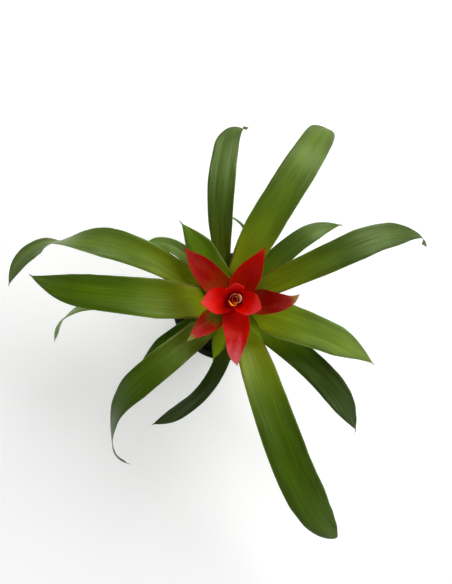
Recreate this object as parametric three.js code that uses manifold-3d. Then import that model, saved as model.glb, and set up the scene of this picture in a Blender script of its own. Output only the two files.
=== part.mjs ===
// A potted guzmania: one rosette of strap leaves round a flower stem with a red star of bracts,
// standing in the soil of a round nursery pot. Millimetres, +Z up, +Y to the back.
// The origin is the middle of the pot's flat underside.
import * as THREE from "three";
import { NURBSCurve } from "three/addons/curves/NURBSCurve.js";
import { mergeVertices } from "three/addons/utils/BufferGeometryUtils.js";
import Module from "manifold-3d";

const wasm = await Module();
wasm.setup();

// Clearance between pieces that touch
const GAP = 0.3;

// Pot
const POT_HEIGHT = 90;
const POT_BASE_RADIUS = 37;
const POT_BODY_TOP_RADIUS = 48.4;
const POT_COLLAR_RADIUS = 50.4;
const POT_RIM_RADIUS = 52;
const POT_COLLAR_HEIGHT = 10;
const POT_LIP_HEIGHT = 2.4;
const POT_WALL = 1.2;
const POT_SIDES = 40;
const DRAIN_HOLES = 8;
const DRAIN_HOLE_RADIUS = 3.5;
const DRAIN_HOLE_SIDES = 10;
const DRAIN_RING_RADIUS = 27;
const POT_FOOT_EDGE = 1.5;
const POT_STEP = 1.2;
const LIP_EDGE = 0.6;

// Soil and the stem that stands in it
const SOIL_TOP = 80;
const SOIL_EDGE_DROP = 1.5;
const SOIL_EDGE_WIDTH = 8;
const STEM_RADIUS = 7;
const STEM_FOOT = 56;
const STEM_SHOULDER = 86;
const STEM_TOP = 104;
const STEM_TOP_RADIUS = 4.5;
const STEM_FOOT_EDGE = 3;
const STEM_SIDES = 20;
// How far a cutter runs past the face that it cuts, and how close vertices are joined
const OVERRUN = 1;
const WELD = 1e-4;

// Leaf bases wrap the stem in layers: the inner ones leave it higher up than the outer ones
const LEAF_THICKNESS = 0.7;
const SHEATH_GAP = 0.35;
const LAYER_PITCH = LEAF_THICKNESS + 0.65;
const SHEATH_FOOT = SOIL_TOP + GAP;
const SHEATH_LEAN = 0.25;
const INNER_EXIT_HEIGHT = 130;
const LAYER_DROP = 5.5;
const SHOULDER_OUT = 8;
const SHOULDER_UP = 14;
// Heights of the sheath's points as shares of its length
const SHEATH_SHARES = [0, 0.4, 0.75, 1];

// Blades are strips ACROSS wide, with stations that crowd together towards the tip
const LEAF_SPANS = 20;
const ACROSS = 4;
const CROWDING = 1.4;
const TIP_WIDTH = 1.2;
const LEAST_BEND = 0.01;
const LENGTH_STEPS = 200;
// How far the outward direction guides a blade's level line where its path climbs straight up
const OUTWARD_GUIDE = 0.2;

// A leaf starts to open this far before it leaves its sheath, over this length
const SHEATH_EASE = 14;
const OPENING_LENGTH = 45;

// The channel that a leaf's cross-section makes, in degrees each side of its middle
const LEAF_CURL = [24, 16, 10, 4, -6];

// Leaves, numbered from the oldest and outermost in. Points given as [direction in degrees from
// +X, distance out from the axis, height] draw their paths. Widths run from base to tip, and tip is
// the length that narrows. A blunt tip is square where its power is high, and skew moves the tip
// to one side, left for 1 and right for -1. Roll turns a blade about its path, in degrees.
const LEAVES = [
  { layer: 6, wrap: 46, path: [[184, 50, 112], [179.5, 105, 122], [180.3, 139, 116],
    [186.4, 160.8, 102], [191.7, 166, 90]], widths: [16, 15, 14, 13, 11, 7.5, 5], tip: 14,
    roll: [0, 0, 0, 0, 0, 0, 0, 5, 25, 50, 76, 35, 25] },
  { layer: 5, wrap: 48, path: [[78, 40, 118], [74, 65, 123], [80.2, 78, 121], [93, 84.5, 118]],
    widths: [17, 9, 4, 3], tip: 14, roll: [0, 0, 30, 60] },
  { layer: 5, wrap: 48, path: [[214, 40, 118], [214.5, 75, 128], [215.5, 102, 116]],
    widths: [20, 22, 22, 15], tip: 36 },
  { layer: 4, wrap: 48, path: [[128, 40, 118], [132.3, 67.5, 127], [138, 85, 125], [144.5, 93, 115],
    [149, 98, 103]], widths: [16, 15.5, 13.5, 12, 9], tip: 25 },
  { layer: 4, wrap: 48, path: [[266.8, 40, 120], [258.2, 76, 125], [247.2, 106, 112],
    [238, 131.5, 92]], widths: [16, 15.5, 16, 14], tip: 34, roll: [5, 30, 42, 25] },
  { layer: 3, wrap: 39, path: [[43, 45, 128], [44, 85, 139], [39.4, 112, 136], [35.4, 128, 124]],
    widths: [18, 21, 18, 10], tip: 36 },
  { layer: 3, wrap: 39, path: [[323.4, 45, 132], [323, 90, 145], [319.6, 138, 134],
    [315.7, 166.8, 108]], widths: [21, 24, 25, 17], tip: 44 },
  { layer: 3, wrap: 46, path: [[151.5, 45, 138], [151.2, 80, 152], [155, 125, 158],
    [160.8, 160, 149], [164.9, 183, 136], [170.5, 198, 124], [175.2, 201, 114]],
    widths: [18, 20, 25, 28, 22, 18, 12], tip: 30,
    roll: [0, 0, 0, 0, 0, 0, 0, 0, 0, 5, 12, 24, 41, 61, 77, 40, 24, 20, 18, 18, 18] },
  { layer: 2, wrap: 36, path: [[25, 45, 146], [23.8, 95, 164], [24.8, 150, 162], [20, 185, 142],
    [16.5, 195, 126]], widths: [18, 21.5, 25, 27, 21.5, 11], tip: 48 },
  { layer: 2, wrap: 36, path: [[101.4, 48, 150], [98, 88, 170], [93.5, 128, 165], [90.7, 152, 154],
    [88.5, 160.5, 145.6]], widths: [12, 14, 21, 24, 22, 17], tip: 29, blunt: 2, skew: -0.9 },
  { layer: 2, wrap: 46, path: [[223.6, 45, 148], [220.9, 95, 160], [221.4, 135, 146],
    [227.7, 156.5, 124], [230.6, 166.5, 110], [234, 175.5, 101], [238, 174, 93]],
    widths: [20, 22.5, 25.5, 25, 16.5, 5, 5], tip: 12, roll: [0, 0, 0, 10, 48, 72, 40] },
  { layer: 1, wrap: 42, path: [[339, 40, 154], [339.6, 85, 168], [338.5, 118, 160],
    [336.7, 138, 144]], widths: [26, 32, 26, 10], tip: 48 },
  { layer: 1, wrap: 42, path: [[70.5, 55, 156], [64.4, 113, 174], [62.3, 158, 168],
    [61.8, 183.2, 145.8]], widths: [22, 31.5, 31, 25.5], tip: 24, blunt: 3.2, skew: -0.5 },
  { layer: 1, wrap: 46, path: [[180, 45, 152], [177.4, 105, 170], [176.5, 150, 162],
    [173.2, 176.5, 144]], widths: [25, 34.5, 29.3, 17.5], tip: 50, skew: -0.15 },
  { layer: 0, wrap: 46, path: [[122, 35, 158], [123, 60, 168], [124, 82, 166]],
    widths: [22, 25.5, 23, 12], tip: 28 },
  { layer: 0, wrap: 46, path: [[291.4, 42, 156], [288.5, 105, 174], [289.2, 170, 170],
    [292.4, 212, 151], [293.4, 227.4, 138]], widths: [19, 29.5, 33.5, 33.5, 20], tip: 36,
    blunt: 1.8, skew: 0.4 },
];

// Two small leaves clasp the flower stem under the star
const STEM_LEAVES = [
  { wrap: 70, exit: 149, path: [[252.5, 22, 160], [252, 40, 163], [251.5, 52.5, 158]],
    widths: [14, 15, 12], tip: 20 },
  { wrap: 70, exit: 144, path: [[307, 18, 162], [308, 30, 166], [306, 42, 163]],
    widths: [10, 10, 7], tip: 18 },
];
const STEM_LEAF_FOOT = 134;
const STEM_LEAF_SPANS = 12;

// Bloom: the flower stem, its head, the star of bracts and the cup that the inner ones make
const SCAPE_RADIUS = 4.5;
const HEAD_FOOT = 160;
const HEAD_HEIGHT = 172;
const HEAD_TOP = 183;
const HEAD_RADIUS = 6.5;
const HEAD_EDGE = 1;
const BRACT_THICKNESS = 0.8;
const BRACT_SPANS = 10;
const ROOT_OUT = 3;

// Bracts: paths as for the leaves, from inside the head out; bend is the channel at the base
const BRACTS = {
  backLeft: { path: [[140, ROOT_OUT, 165], [141, 12, 171], [140.3, 31, 184], [137.3, 46, 189],
    [135.5, 59.5, 186]], widths: [12, 22.5, 22, 17.5, 9], tip: 26, bend: 45 },
  backRight: { path: [[63, ROOT_OUT, 165], [63, 12, 172], [60, 28, 185], [60, 40, 189.5],
    [60, 49, 190]], widths: [12, 24, 21.5, 15.5, 10], tip: 26, bend: 45 },
  right: { path: [[355, ROOT_OUT, 167], [354, 14, 172], [353.5, 30, 182], [356, 41, 185],
    [359, 49, 184], [4.5, 54, 182]], widths: [11, 18, 22.5, 17.5, 10.5, 7], tip: 16, bend: 45 },
  front: { path: [[271, ROOT_OUT, 164], [274, 14, 171], [273, 30, 183], [269.5, 42, 182],
    [271, 50, 176], [273.5, 55.5, 166]], widths: [11, 22.5, 23, 16.5, 12, 9], tip: 26, bend: 45 },
  frontLeft: { path: [[222, ROOT_OUT, 163], [221, 14, 170], [222, 32, 178], [221.6, 53.5, 173]],
    widths: [10, 17, 19.5, 12.5, 7], tip: 22, bend: 45 },
  innerLeft: { path: [[190, ROOT_OUT, 176], [190, 8, 181], [189, 18, 193], [190, 30, 198]],
    widths: [18, 22, 22, 16], tip: 16, bend: 75 },
  innerRight: { path: [[333, ROOT_OUT, 177], [333, 8, 182], [335, 13, 194], [334, 22, 199]],
    widths: [17, 20, 20, 15], tip: 12, bend: 75 },
  hood: { path: [[100, ROOT_OUT, 178], [100, 5.5, 184], [100, 8, 194], [99, 10.5, 203]],
    widths: [13, 16, 16, 12], tip: 10, bend: 70 },
};
// The channel of a bract from base to tip, as shares of its bend at the base
const BRACT_CURL = [1, 0.65, 0.4, 0.2, -0.1];

// Florets: furled petals round a short plug, standing in the cup beside the stem's axis
const FLORETS_X = -1.5;
const FLORETS_Y = -1.4;
const PETAL_DIRECTIONS = [15, 140, 255];
const PETAL_FOOT_OUT = 3.2;
const PETAL_TOP_OUT = 4.8;
const PETAL_FLARE_SHARE = 0.6;
const PETAL_SPANS = 5;
const PETAL_WIDTHS = [7.2, 7.2, 7, 6];
const PETAL_TIP = 5;
const PETAL_BEND = 64;
const PETAL_CURL = [1, 1, 0.9, 0.6, 0.3];
const FLORETS_TOP = 202;
const PLUG_RADIUS = 3.5;
const PLUG_HEIGHT = 6;
const PLUG_SIDES = 12;

const radians = THREE.MathUtils.degToRad;
const lerp = THREE.MathUtils.lerp;

function polar([direction, out, up]) {
  const angle = radians(direction);
  return new THREE.Vector3(out * Math.cos(angle), out * Math.sin(angle), up);
}

// A cubic spline that starts and ends on its end points and is drawn towards those between them
function smoothPath(points) {
  const degree = 3;
  const spans = points.length - degree;
  const knots = [];
  for (let i = 0; i < points.length + degree + 1; i++) {
    knots.push(Math.min(Math.max(i - degree, 0), spans));
  }
  return new NURBSCurve(degree, knots, points.map((p) => new THREE.Vector4(p.x, p.y, p.z, 1)));
}

// The value at a fraction along evenly spaced values, straight between them
function along(values, fraction) {
  const place = Math.min(Math.max(fraction, 0), 1) * (values.length - 1);
  const index = Math.min(Math.floor(place), values.length - 2);
  return lerp(values[index], values[index + 1], place - index);
}

// A thin strip through its stations: each has its middle, the directions along and across it,
// its width, and half the angle that its cross-section bends through. Both faces are split alike.
function bladeGeometry(stations, thickness) {
  const row = ACROSS + 1;
  const face = stations.length * row;
  const upper = [];
  const lower = [];
  for (const { middle, across, up, width, bend } of stations) {
    const half = Math.abs(bend) < LEAST_BEND ? LEAST_BEND : bend;
    const radius = width / 2 / half;
    for (let j = 0; j < row; j++) {
      const angle = half * (2 * j / ACROSS - 1);
      const point = middle.clone()
        .addScaledVector(across, radius * Math.sin(angle))
        .addScaledVector(up, radius * (1 - Math.cos(angle)));
      const normal = up.clone().multiplyScalar(Math.cos(angle))
        .addScaledVector(across, -Math.sin(angle));
      upper.push(...point.toArray());
      lower.push(...point.addScaledVector(normal, -thickness).toArray());
    }
  }
  const index = [];
  const quad = (a, b, c, d) => index.push(a, b, c, a, c, d);
  for (let i = 0; i < stations.length - 1; i++) {
    const here = i * row;
    const next = here + row;
    for (let j = 0; j < ACROSS; j++) {
      quad(here + j, next + j, next + j + 1, here + j + 1);
      index.push(face + here + j, face + next + j + 1, face + next + j);
      index.push(face + here + j, face + here + j + 1, face + next + j + 1);
    }
    quad(here, face + here, face + next, next);
    quad(here + ACROSS, next + ACROSS, face + next + ACROSS, face + here + ACROSS);
  }
  const last = (stations.length - 1) * row;
  for (let j = 0; j < ACROSS; j++) {
    quad(j, j + 1, face + j + 1, face + j);
    quad(last + j, face + last + j, face + last + j + 1, last + j + 1);
  }
  const geometry = new THREE.BufferGeometry();
  geometry.setAttribute("position", new THREE.Float32BufferAttribute([...upper, ...lower], 3));
  geometry.setIndex(index);
  return geometry;
}

// How much of its full width a blade keeps where this length remains to its tip
function tipShare(remaining, tip, blunt) {
  if (remaining >= tip) return 1;
  const gone = 1 - remaining / tip;
  return blunt ? (1 - gone ** blunt) ** (1 / blunt) : 1 - gone * gone;
}

// The stations along a path whose base faces one direction. shape gives the width, bend and roll
// there, and how far the middle lies aside of the path, from the length walked, the length in all
// and the height.
function stationsAlong(path, spans, shape) {
  const curve = smoothPath(path.map(polar));
  const lengths = curve.getLengths(LENGTH_STEPS);
  const outward = polar([path[0][0], 1, 0]);
  const stations = [];
  for (let i = 0; i <= spans; i++) {
    const t = 1 - (1 - i / spans) ** CROWDING;
    const middle = curve.getPoint(t);
    const forward = curve.getTangent(t);
    const walked = lengths[Math.round(t * LENGTH_STEPS)];
    const { width, bend, roll = 0, aside = 0 } = shape(walked, lengths[LENGTH_STEPS], middle.z);
    const level = new THREE.Vector3(forward.x, forward.y, 0)
      .addScaledVector(outward, OUTWARD_GUIDE);
    const across = new THREE.Vector3(-level.y, level.x, 0).normalize();
    across.addScaledVector(forward, -across.dot(forward)).normalize();
    across.applyAxisAngle(forward, radians(roll));
    middle.addScaledVector(across, aside);
    const up = new THREE.Vector3().crossVectors(forward, across);
    stations.push({ middle, across, up, width: Math.max(width, TIP_WIDTH), bend: radians(bend) });
  }
  return stations;
}

// How far a blade has opened from its sheath, from 0 to 1, with a soft start and end
function opened(walked, bladeStart) {
  const share = Math.min(Math.max((walked - bladeStart + SHEATH_EASE) / OPENING_LENGTH, 0), 1);
  return share * share * (3 - 2 * share);
}

// One leaf: its base wraps the stem at the given radius, then it opens into an arching blade
function leafGeometry({ radius, foot, exit, lean, wrap, path, widths, tip, spans, blunt = 0,
  skew = 0, roll = [0, 0] }) {
  const direction = path[0][0];
  const around = (up) => radius + lean * (up - foot);
  const sheath = SHEATH_SHARES.map((share) => lerp(foot, exit, share))
    .map((up) => [direction, around(up), up]);
  const shoulder = [direction, around(exit) + SHOULDER_OUT, exit + SHOULDER_UP];
  const bladeStart = exit - foot;
  const stations = stationsAlong([...sheath, shoulder, ...path], spans, (walked, total, up) => {
    const blade = (walked - bladeStart) / (total - bladeStart);
    const open = opened(walked, bladeStart);
    const width = lerp(2 * around(up) * radians(wrap), along(widths, blade), open);
    const narrowed = tipShare(total - walked, tip, blunt);
    return {
      width: width * narrowed,
      aside: skew * width * (1 - narrowed) / 2,
      bend: lerp(wrap, along(LEAF_CURL, blade), open),
      roll: open * along(roll, blade),
    };
  });
  return bladeGeometry(stations, LEAF_THICKNESS);
}

// One bract or petal: a short channelled blade whose root is inside the piece that carries it
function bractGeometry({ path, widths, tip, bend }, curl, spans, thickness) {
  const stations = stationsAlong(path, spans, (walked, total) => ({
    width: along(widths, walked / total) * tipShare(total - walked, tip, 0),
    bend: bend * along(curl, walked / total),
  }));
  return bladeGeometry(stations, thickness);
}

// A closed solid for cutting and joining, and a plain geometry back from one
function solid(geometry) {
  const bare = geometry.clone();
  bare.deleteAttribute("normal");
  bare.deleteAttribute("uv");
  const merged = mergeVertices(bare, WELD);
  return new wasm.Manifold(new wasm.Mesh({
    numProp: 3,
    vertProperties: new Float32Array(merged.attributes.position.array),
    triVerts: new Uint32Array(merged.index.array),
  }));
}

function geometryOf(manifold) {
  const mesh = manifold.getMesh();
  const geometry = new THREE.BufferGeometry();
  geometry.setAttribute("position", new THREE.BufferAttribute(mesh.vertProperties, 3));
  geometry.setIndex(new THREE.BufferAttribute(mesh.triVerts, 1));
  return geometry;
}

// A turned solid from its outline, given as [distance out, height] from the bottom up
function turned(outline, sides) {
  return new THREE.LatheGeometry(outline.map(([out, up]) => new THREE.Vector2(out, up)), sides)
    .rotateX(Math.PI / 2);
}

// A round bar standing on the axis, or beside it
function bar(radius, bottom, top, sides, x = 0, y = 0) {
  return new THREE.CylinderGeometry(radius, radius, top - bottom, sides)
    .rotateX(Math.PI / 2)
    .translate(x, y, (bottom + top) / 2);
}

// The pot's outside radius at a height below its collar
const bodyTop = POT_HEIGHT - POT_COLLAR_HEIGHT;
const wallRadius = (up) => lerp(POT_BASE_RADIUS, POT_BODY_TOP_RADIUS, up / bodyTop);

// A thin moulded pot: a tapered body, a stepped collar and a rolled lip, with drain holes
function potGeometry() {
  const lipFoot = POT_HEIGHT - POT_LIP_HEIGHT;
  const inner = POT_BODY_TOP_RADIUS - POT_WALL;
  const collarInner = POT_COLLAR_RADIUS - POT_WALL;
  const floorEdge = POT_WALL + POT_FOOT_EDGE;
  let shell = solid(turned([
    [0, 0],
    [POT_BASE_RADIUS - POT_FOOT_EDGE, 0],
    [wallRadius(POT_FOOT_EDGE), POT_FOOT_EDGE],
    [POT_BODY_TOP_RADIUS, bodyTop],
    [POT_COLLAR_RADIUS, bodyTop + POT_STEP],
    [POT_COLLAR_RADIUS, lipFoot],
    [POT_RIM_RADIUS, lipFoot + LIP_EDGE],
    [POT_RIM_RADIUS, POT_HEIGHT - LIP_EDGE],
    [POT_RIM_RADIUS - LIP_EDGE, POT_HEIGHT],
    [collarInner + LIP_EDGE, POT_HEIGHT],
    [collarInner, POT_HEIGHT - LIP_EDGE],
    [collarInner, bodyTop + POT_STEP + LIP_EDGE],
    [inner, bodyTop + LIP_EDGE],
    [wallRadius(floorEdge) - POT_WALL, floorEdge],
    [wallRadius(POT_WALL) - POT_WALL - POT_FOOT_EDGE, POT_WALL],
    [0, POT_WALL],
  ], POT_SIDES));
  for (let i = 0; i < DRAIN_HOLES; i++) {
    const [x, y] = polar([360 * i / DRAIN_HOLES, DRAIN_RING_RADIUS, 0]).toArray();
    const drill = bar(DRAIN_HOLE_RADIUS, -OVERRUN, POT_WALL + OVERRUN, DRAIN_HOLE_SIDES, x, y);
    shell = shell.subtract(solid(drill));
  }
  return geometryOf(shell);
}

// The peat that fills the pot, lower at the wall, with a plain hole for the stem
function soilGeometry() {
  const bottom = POT_WALL + GAP;
  const edge = (up) => wallRadius(up) - POT_WALL - GAP;
  const rimHeight = SOIL_TOP - SOIL_EDGE_DROP;
  const block = solid(turned([
    [0, bottom],
    [edge(bottom) - POT_FOOT_EDGE, bottom],
    [edge(bottom + POT_FOOT_EDGE), bottom + POT_FOOT_EDGE],
    [edge(rimHeight), rimHeight],
    [edge(rimHeight) - SOIL_EDGE_WIDTH, SOIL_TOP],
    [0, SOIL_TOP],
  ], POT_SIDES));
  const hole = solid(bar(STEM_RADIUS + GAP, STEM_FOOT - GAP, SOIL_TOP + OVERRUN, STEM_SIDES));
  return geometryOf(block.subtract(hole));
}

// The short core that the leaves wrap, tapering to the flower stem
function stemGeometry() {
  return turned([
    [0, STEM_FOOT],
    [STEM_RADIUS - STEM_FOOT_EDGE, STEM_FOOT],
    [STEM_RADIUS, STEM_FOOT + STEM_FOOT_EDGE],
    [STEM_RADIUS, STEM_SHOULDER],
    [STEM_TOP_RADIUS, STEM_TOP],
    [0, STEM_TOP],
  ], STEM_SIDES);
}

// The flower stem and every bract as one body
function bloomGeometry() {
  let body = solid(turned([
    [0, STEM_TOP + GAP],
    [SCAPE_RADIUS, STEM_TOP + GAP],
    [SCAPE_RADIUS, HEAD_FOOT],
    [HEAD_RADIUS, HEAD_HEIGHT],
    [HEAD_RADIUS, HEAD_TOP - HEAD_EDGE],
    [HEAD_RADIUS - HEAD_EDGE, HEAD_TOP],
    [0, HEAD_TOP],
  ], STEM_SIDES));
  for (const bract of Object.values(BRACTS)) {
    body = body.add(solid(bractGeometry(bract, BRACT_CURL, BRACT_SPANS, BRACT_THICKNESS)));
  }
  return geometryOf(body);
}

// The florets as one body: a short plug and its ring of furled petals
function floretsGeometry() {
  const foot = HEAD_TOP + GAP;
  const plugTop = foot + PLUG_HEIGHT;
  let body = solid(bar(PLUG_RADIUS, foot, plugTop, PLUG_SIDES));
  for (const direction of PETAL_DIRECTIONS) {
    const path = [
      [direction, PETAL_FOOT_OUT, foot + GAP],
      [direction, PETAL_FOOT_OUT, plugTop],
      [direction, PETAL_FOOT_OUT, lerp(plugTop, FLORETS_TOP, PETAL_FLARE_SHARE)],
      [direction, PETAL_TOP_OUT, FLORETS_TOP],
    ];
    const petal = { path, widths: PETAL_WIDTHS, tip: PETAL_TIP, bend: PETAL_BEND };
    body = body.add(solid(bractGeometry(petal, PETAL_CURL, PETAL_SPANS, LEAF_THICKNESS)));
  }
  return geometryOf(body).translate(FLORETS_X, FLORETS_Y, 0);
}

const group = new THREE.Group();

function addMesh(name, geometry, color, roughness) {
  const mesh = new THREE.Mesh(geometry,
    new THREE.MeshStandardMaterial({ color, roughness, metalness: 0 }));
  mesh.name = name;
  group.add(mesh);
}

addMesh("pot", potGeometry(), 0x101112, 0.5);
addMesh("soil", soilGeometry(), 0x2a1d14, 0.95);
addMesh("stem", stemGeometry(), 0x7d8f3a, 0.5);
LEAVES.forEach((leaf, i) => {
  addMesh(`leaf_${String(i + 1).padStart(2, "0")}`, leafGeometry({
    ...leaf,
    radius: STEM_RADIUS + SHEATH_GAP + leaf.layer * LAYER_PITCH,
    foot: SHEATH_FOOT,
    lean: SHEATH_LEAN,
    exit: INNER_EXIT_HEIGHT - leaf.layer * LAYER_DROP,
    spans: LEAF_SPANS,
  }), 0x4c6a14, 0.4);
});
STEM_LEAVES.forEach((leaf, i) => {
  addMesh(`stem_leaf_${i + 1}`, leafGeometry({
    ...leaf,
    radius: SCAPE_RADIUS + SHEATH_GAP + i * LAYER_PITCH,
    foot: STEM_LEAF_FOOT,
    lean: 0,
    spans: STEM_LEAF_SPANS,
  }), 0x6f8428, 0.4);
});
addMesh("bloom", bloomGeometry(), 0xb40b04, 0.35);
addMesh("florets", floretsGeometry(), 0xe0641e, 0.4);

export default group;
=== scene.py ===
"""A potted guzmania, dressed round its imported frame.

The tables give lengths in millimetres and angles in degrees, with directions counted from +X.
The operators' settings are in metres, as Blender's own are.
"""

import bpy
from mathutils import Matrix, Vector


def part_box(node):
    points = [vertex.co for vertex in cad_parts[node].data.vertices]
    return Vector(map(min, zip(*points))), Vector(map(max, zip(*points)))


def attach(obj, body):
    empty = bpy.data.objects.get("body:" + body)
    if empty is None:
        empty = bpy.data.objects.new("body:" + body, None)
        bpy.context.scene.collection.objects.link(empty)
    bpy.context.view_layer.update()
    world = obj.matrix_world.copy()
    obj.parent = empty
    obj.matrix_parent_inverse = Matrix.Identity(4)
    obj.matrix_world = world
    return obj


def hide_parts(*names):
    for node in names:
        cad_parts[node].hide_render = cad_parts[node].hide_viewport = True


bl_info = {
    "name": "Potted guzmania",
    "version": (1, 0, 0),
    "blender": (4, 5, 0),
    "location": "View3D > Sidebar > Guzmania",
    "description": "Builds the leaves, bloom, pot and soil of a potted guzmania, and its stage",
    "category": "Add Mesh",
}

import math
import random

import bpy
import numpy as np
from bpy.props import FloatProperty, FloatVectorProperty, IntProperty, PointerProperty
from mathutils import Matrix, Vector, noise

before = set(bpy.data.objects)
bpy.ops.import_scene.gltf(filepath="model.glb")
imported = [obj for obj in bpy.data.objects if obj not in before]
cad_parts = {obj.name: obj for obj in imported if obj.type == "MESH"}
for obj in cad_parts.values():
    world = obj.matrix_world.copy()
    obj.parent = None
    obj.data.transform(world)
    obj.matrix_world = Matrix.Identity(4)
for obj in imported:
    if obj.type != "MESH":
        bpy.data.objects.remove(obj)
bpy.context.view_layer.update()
POT_RADIUS, _, POT_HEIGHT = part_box("pot")[1]

MM = 0.001

# Leaves, numbered from the oldest and outermost in, as the frame has them. A path is a smooth
# curve that ends at its last [direction, distance out, height] and is drawn towards the others.
# Widths run from base to tip, tip is the length that narrows, and roll turns the blade about
# its path. Age runs from 0, young, to 1, old, and glow is how strong the pale base is. Gain
# makes the whole leaf lighter or darker, partly for its own tone and partly as painted light
# and shade where the lamps fall on it; a second factor paints its outer half alone lighter or
# darker, as painted light and shade. A third setting paints a grey-green sheen over its outer
# half, standing in for the gloss that the lamps give it. A blunt tip is square where its power
# is high. Skew moves the tip to one side, left for 1 and right for -1. Hook is the tip's fine
# point: its length, how far it turns down and to the left, and how much wider its middle is, if
# it is.
LEAVES = [
    dict(layer=6, wrap=46, path=[[184, 50, 112], [179.5, 105, 122], [180.3, 139, 116],
         [186.4, 160.8, 102], [191.7, 166, 90]], widths=[16, 15, 14, 13, 11, 7.5, 5], tip=14,
         roll=[0, 0, 0, 0, 0, 0, 0, 5, 25, 50, 76, 35, 25], age=0.55, glow=0.1, gain=1.4, painted_sheen=0.5,
         hook=(2, 10, 0)),
    dict(layer=5, wrap=48, path=[[78, 40, 118], [74, 65, 123], [80.2, 78, 121], [93, 84.5, 118]],
         widths=[17, 9, 4, 3], tip=14, roll=[0, 0, 30, 60], age=0.7, glow=0.1, gain=1.2,
         hook=(2, 10, 20)),
    dict(layer=5, wrap=48, path=[[214, 40, 118], [214.5, 75, 128], [215.5, 102, 116]],
         widths=[20, 22, 22, 15], tip=36, age=0.9, glow=0.1, gain=1.6, hook=(2, 10, 0)),
    dict(layer=4, wrap=48, path=[[128, 40, 118], [132.3, 67.5, 127], [138, 85, 125],
         [144.5, 93, 115], [149, 98, 103]], widths=[16, 15.5, 13.5, 12, 9], tip=25, age=0.4,
         glow=0.2, gain=1.15, painted_sheen=0.6, hook=(2, 10, 0)),
    dict(layer=4, wrap=48, path=[[266.8, 40, 120], [258.2, 76, 125], [247.2, 106, 112],
         [238, 131.5, 92]], widths=[16, 15.5, 16, 14], tip=34, roll=[5, 30, 42, 25], age=1.0,
         glow=0.1, gain=1.25, outer_painted_light=0.46, hook=(2, 5, 0)),
    dict(layer=3, wrap=39, path=[[43, 45, 128], [44, 85, 139], [39.4, 112, 136], [35.4, 128, 124]],
         widths=[18, 21, 18, 10], tip=36, age=0.4, glow=0.3, gain=0.95, outer_painted_light=0.68, painted_sheen=0.2,
         hook=(6, 40, -40)),
    dict(layer=3, wrap=39, path=[[323.4, 45, 132], [323, 90, 145], [319.6, 138, 134],
         [315.7, 166.8, 108]], widths=[21, 24, 25, 17], tip=44, age=0.5, glow=0.3, gain=1.5,
         outer_painted_light=0.27, painted_sheen=0.05, hook=(6, 10, -60)),
    dict(layer=3, wrap=46, path=[[151.5, 45, 138], [151.2, 80, 152], [155, 125, 158],
         [160.8, 160, 149], [164.9, 183, 136], [170.5, 198, 124], [175.2, 201, 114]],
         widths=[18, 20, 25, 28, 22, 18, 12], tip=30,
         roll=[0, 0, 0, 0, 0, 0, 0, 0, 0, 5, 12, 24, 41, 61, 77, 40, 24, 20, 18, 18, 18], age=0.3,
         glow=0.9, gain=1.02, outer_painted_light=0.78, painted_sheen=0.25, hook=(2, 20, 0)),
    dict(layer=2, wrap=36, path=[[25, 45, 146], [23.8, 95, 164], [24.8, 150, 162], [20, 185, 142],
         [18.6, 188.9, 133]], widths=[18, 21.5, 25, 27, 21.5, 11], tip=48, age=0.35, glow=0.8,
         gain=0.98, outer_painted_light=0.49, painted_sheen=0.15, hook=(10.5, -75, -120, 8)),
    dict(layer=2, wrap=36, path=[[101.4, 48, 150], [98, 88, 170], [93.5, 128, 165],
         [90.7, 152, 154], [88.5, 160.5, 145.6]], widths=[12, 14, 21, 24, 22, 17], tip=29,
         blunt=2.0, skew=-0.9, age=0.62, glow=0.6, gain=0.52, outer_painted_light=1.4, painted_sheen=0.15,
         hook=(6, -20, -60, 4.8)),
    dict(layer=2, wrap=46, path=[[223.6, 45, 148], [220.9, 95, 160], [221.4, 135, 146],
         [227.7, 156.5, 124], [230.6, 166.5, 110], [234, 175.5, 101], [238, 174, 93]],
         widths=[20, 22.5, 25.5, 25, 16.5, 5, 5], tip=12, roll=[0, 0, 0, 10, 48, 72, 40], age=0.65,
         glow=0.4, gain=1.0, outer_painted_light=0.87, hook=(3, 0, 10)),
    dict(layer=1, wrap=42, path=[[339, 40, 154], [339.6, 85, 168], [338.5, 118, 160],
         [336.7, 138, 144]], widths=[26, 32, 26, 10], tip=48, age=0.0, glow=0.8, gain=1.05,
         outer_painted_light=0.8, painted_sheen=0.3, hook=(3, 20, -20)),
    dict(layer=1, wrap=42, path=[[70.5, 55, 156], [64.4, 113, 174], [62.3, 158, 168],
         [61.8, 181.6, 146.1]], widths=[22, 31.5, 31, 25.5], tip=24, blunt=3.2, skew=-0.5, age=0.28,
         glow=0.8, gain=1.12, outer_painted_light=0.68, painted_sheen=0.1, hook=(0, 0, 0)),
    dict(layer=1, wrap=46, path=[[180, 45, 152], [177.4, 105, 170], [176.5, 150, 162],
         [173.2, 176.5, 144]], widths=[25, 34.5, 29.3, 17.5], tip=50, skew=-0.15, age=0.48,
         glow=0.85, gain=1.1, outer_painted_light=0.98, hook=(3, 0, -40)),
    dict(layer=0, wrap=46, path=[[122, 35, 158], [123, 60, 168], [124.2, 79.6, 166.3]],
         widths=[22, 25.5, 23, 12], tip=28, age=0.42, glow=0.7, gain=1.1, hook=(3, 10, 0)),
    dict(layer=0, wrap=46, path=[[291.4, 42, 156], [288.5, 105, 174], [289.2, 170, 170],
         [292.4, 212, 151], [293.4, 226.7, 138]], widths=[19, 29.5, 33.5, 33.5, 20], tip=36,
         blunt=1.8, skew=0.4, age=0.55, glow=0.75, gain=1.03, outer_painted_light=0.83, hook=(0, 0, 0)),
]
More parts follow.
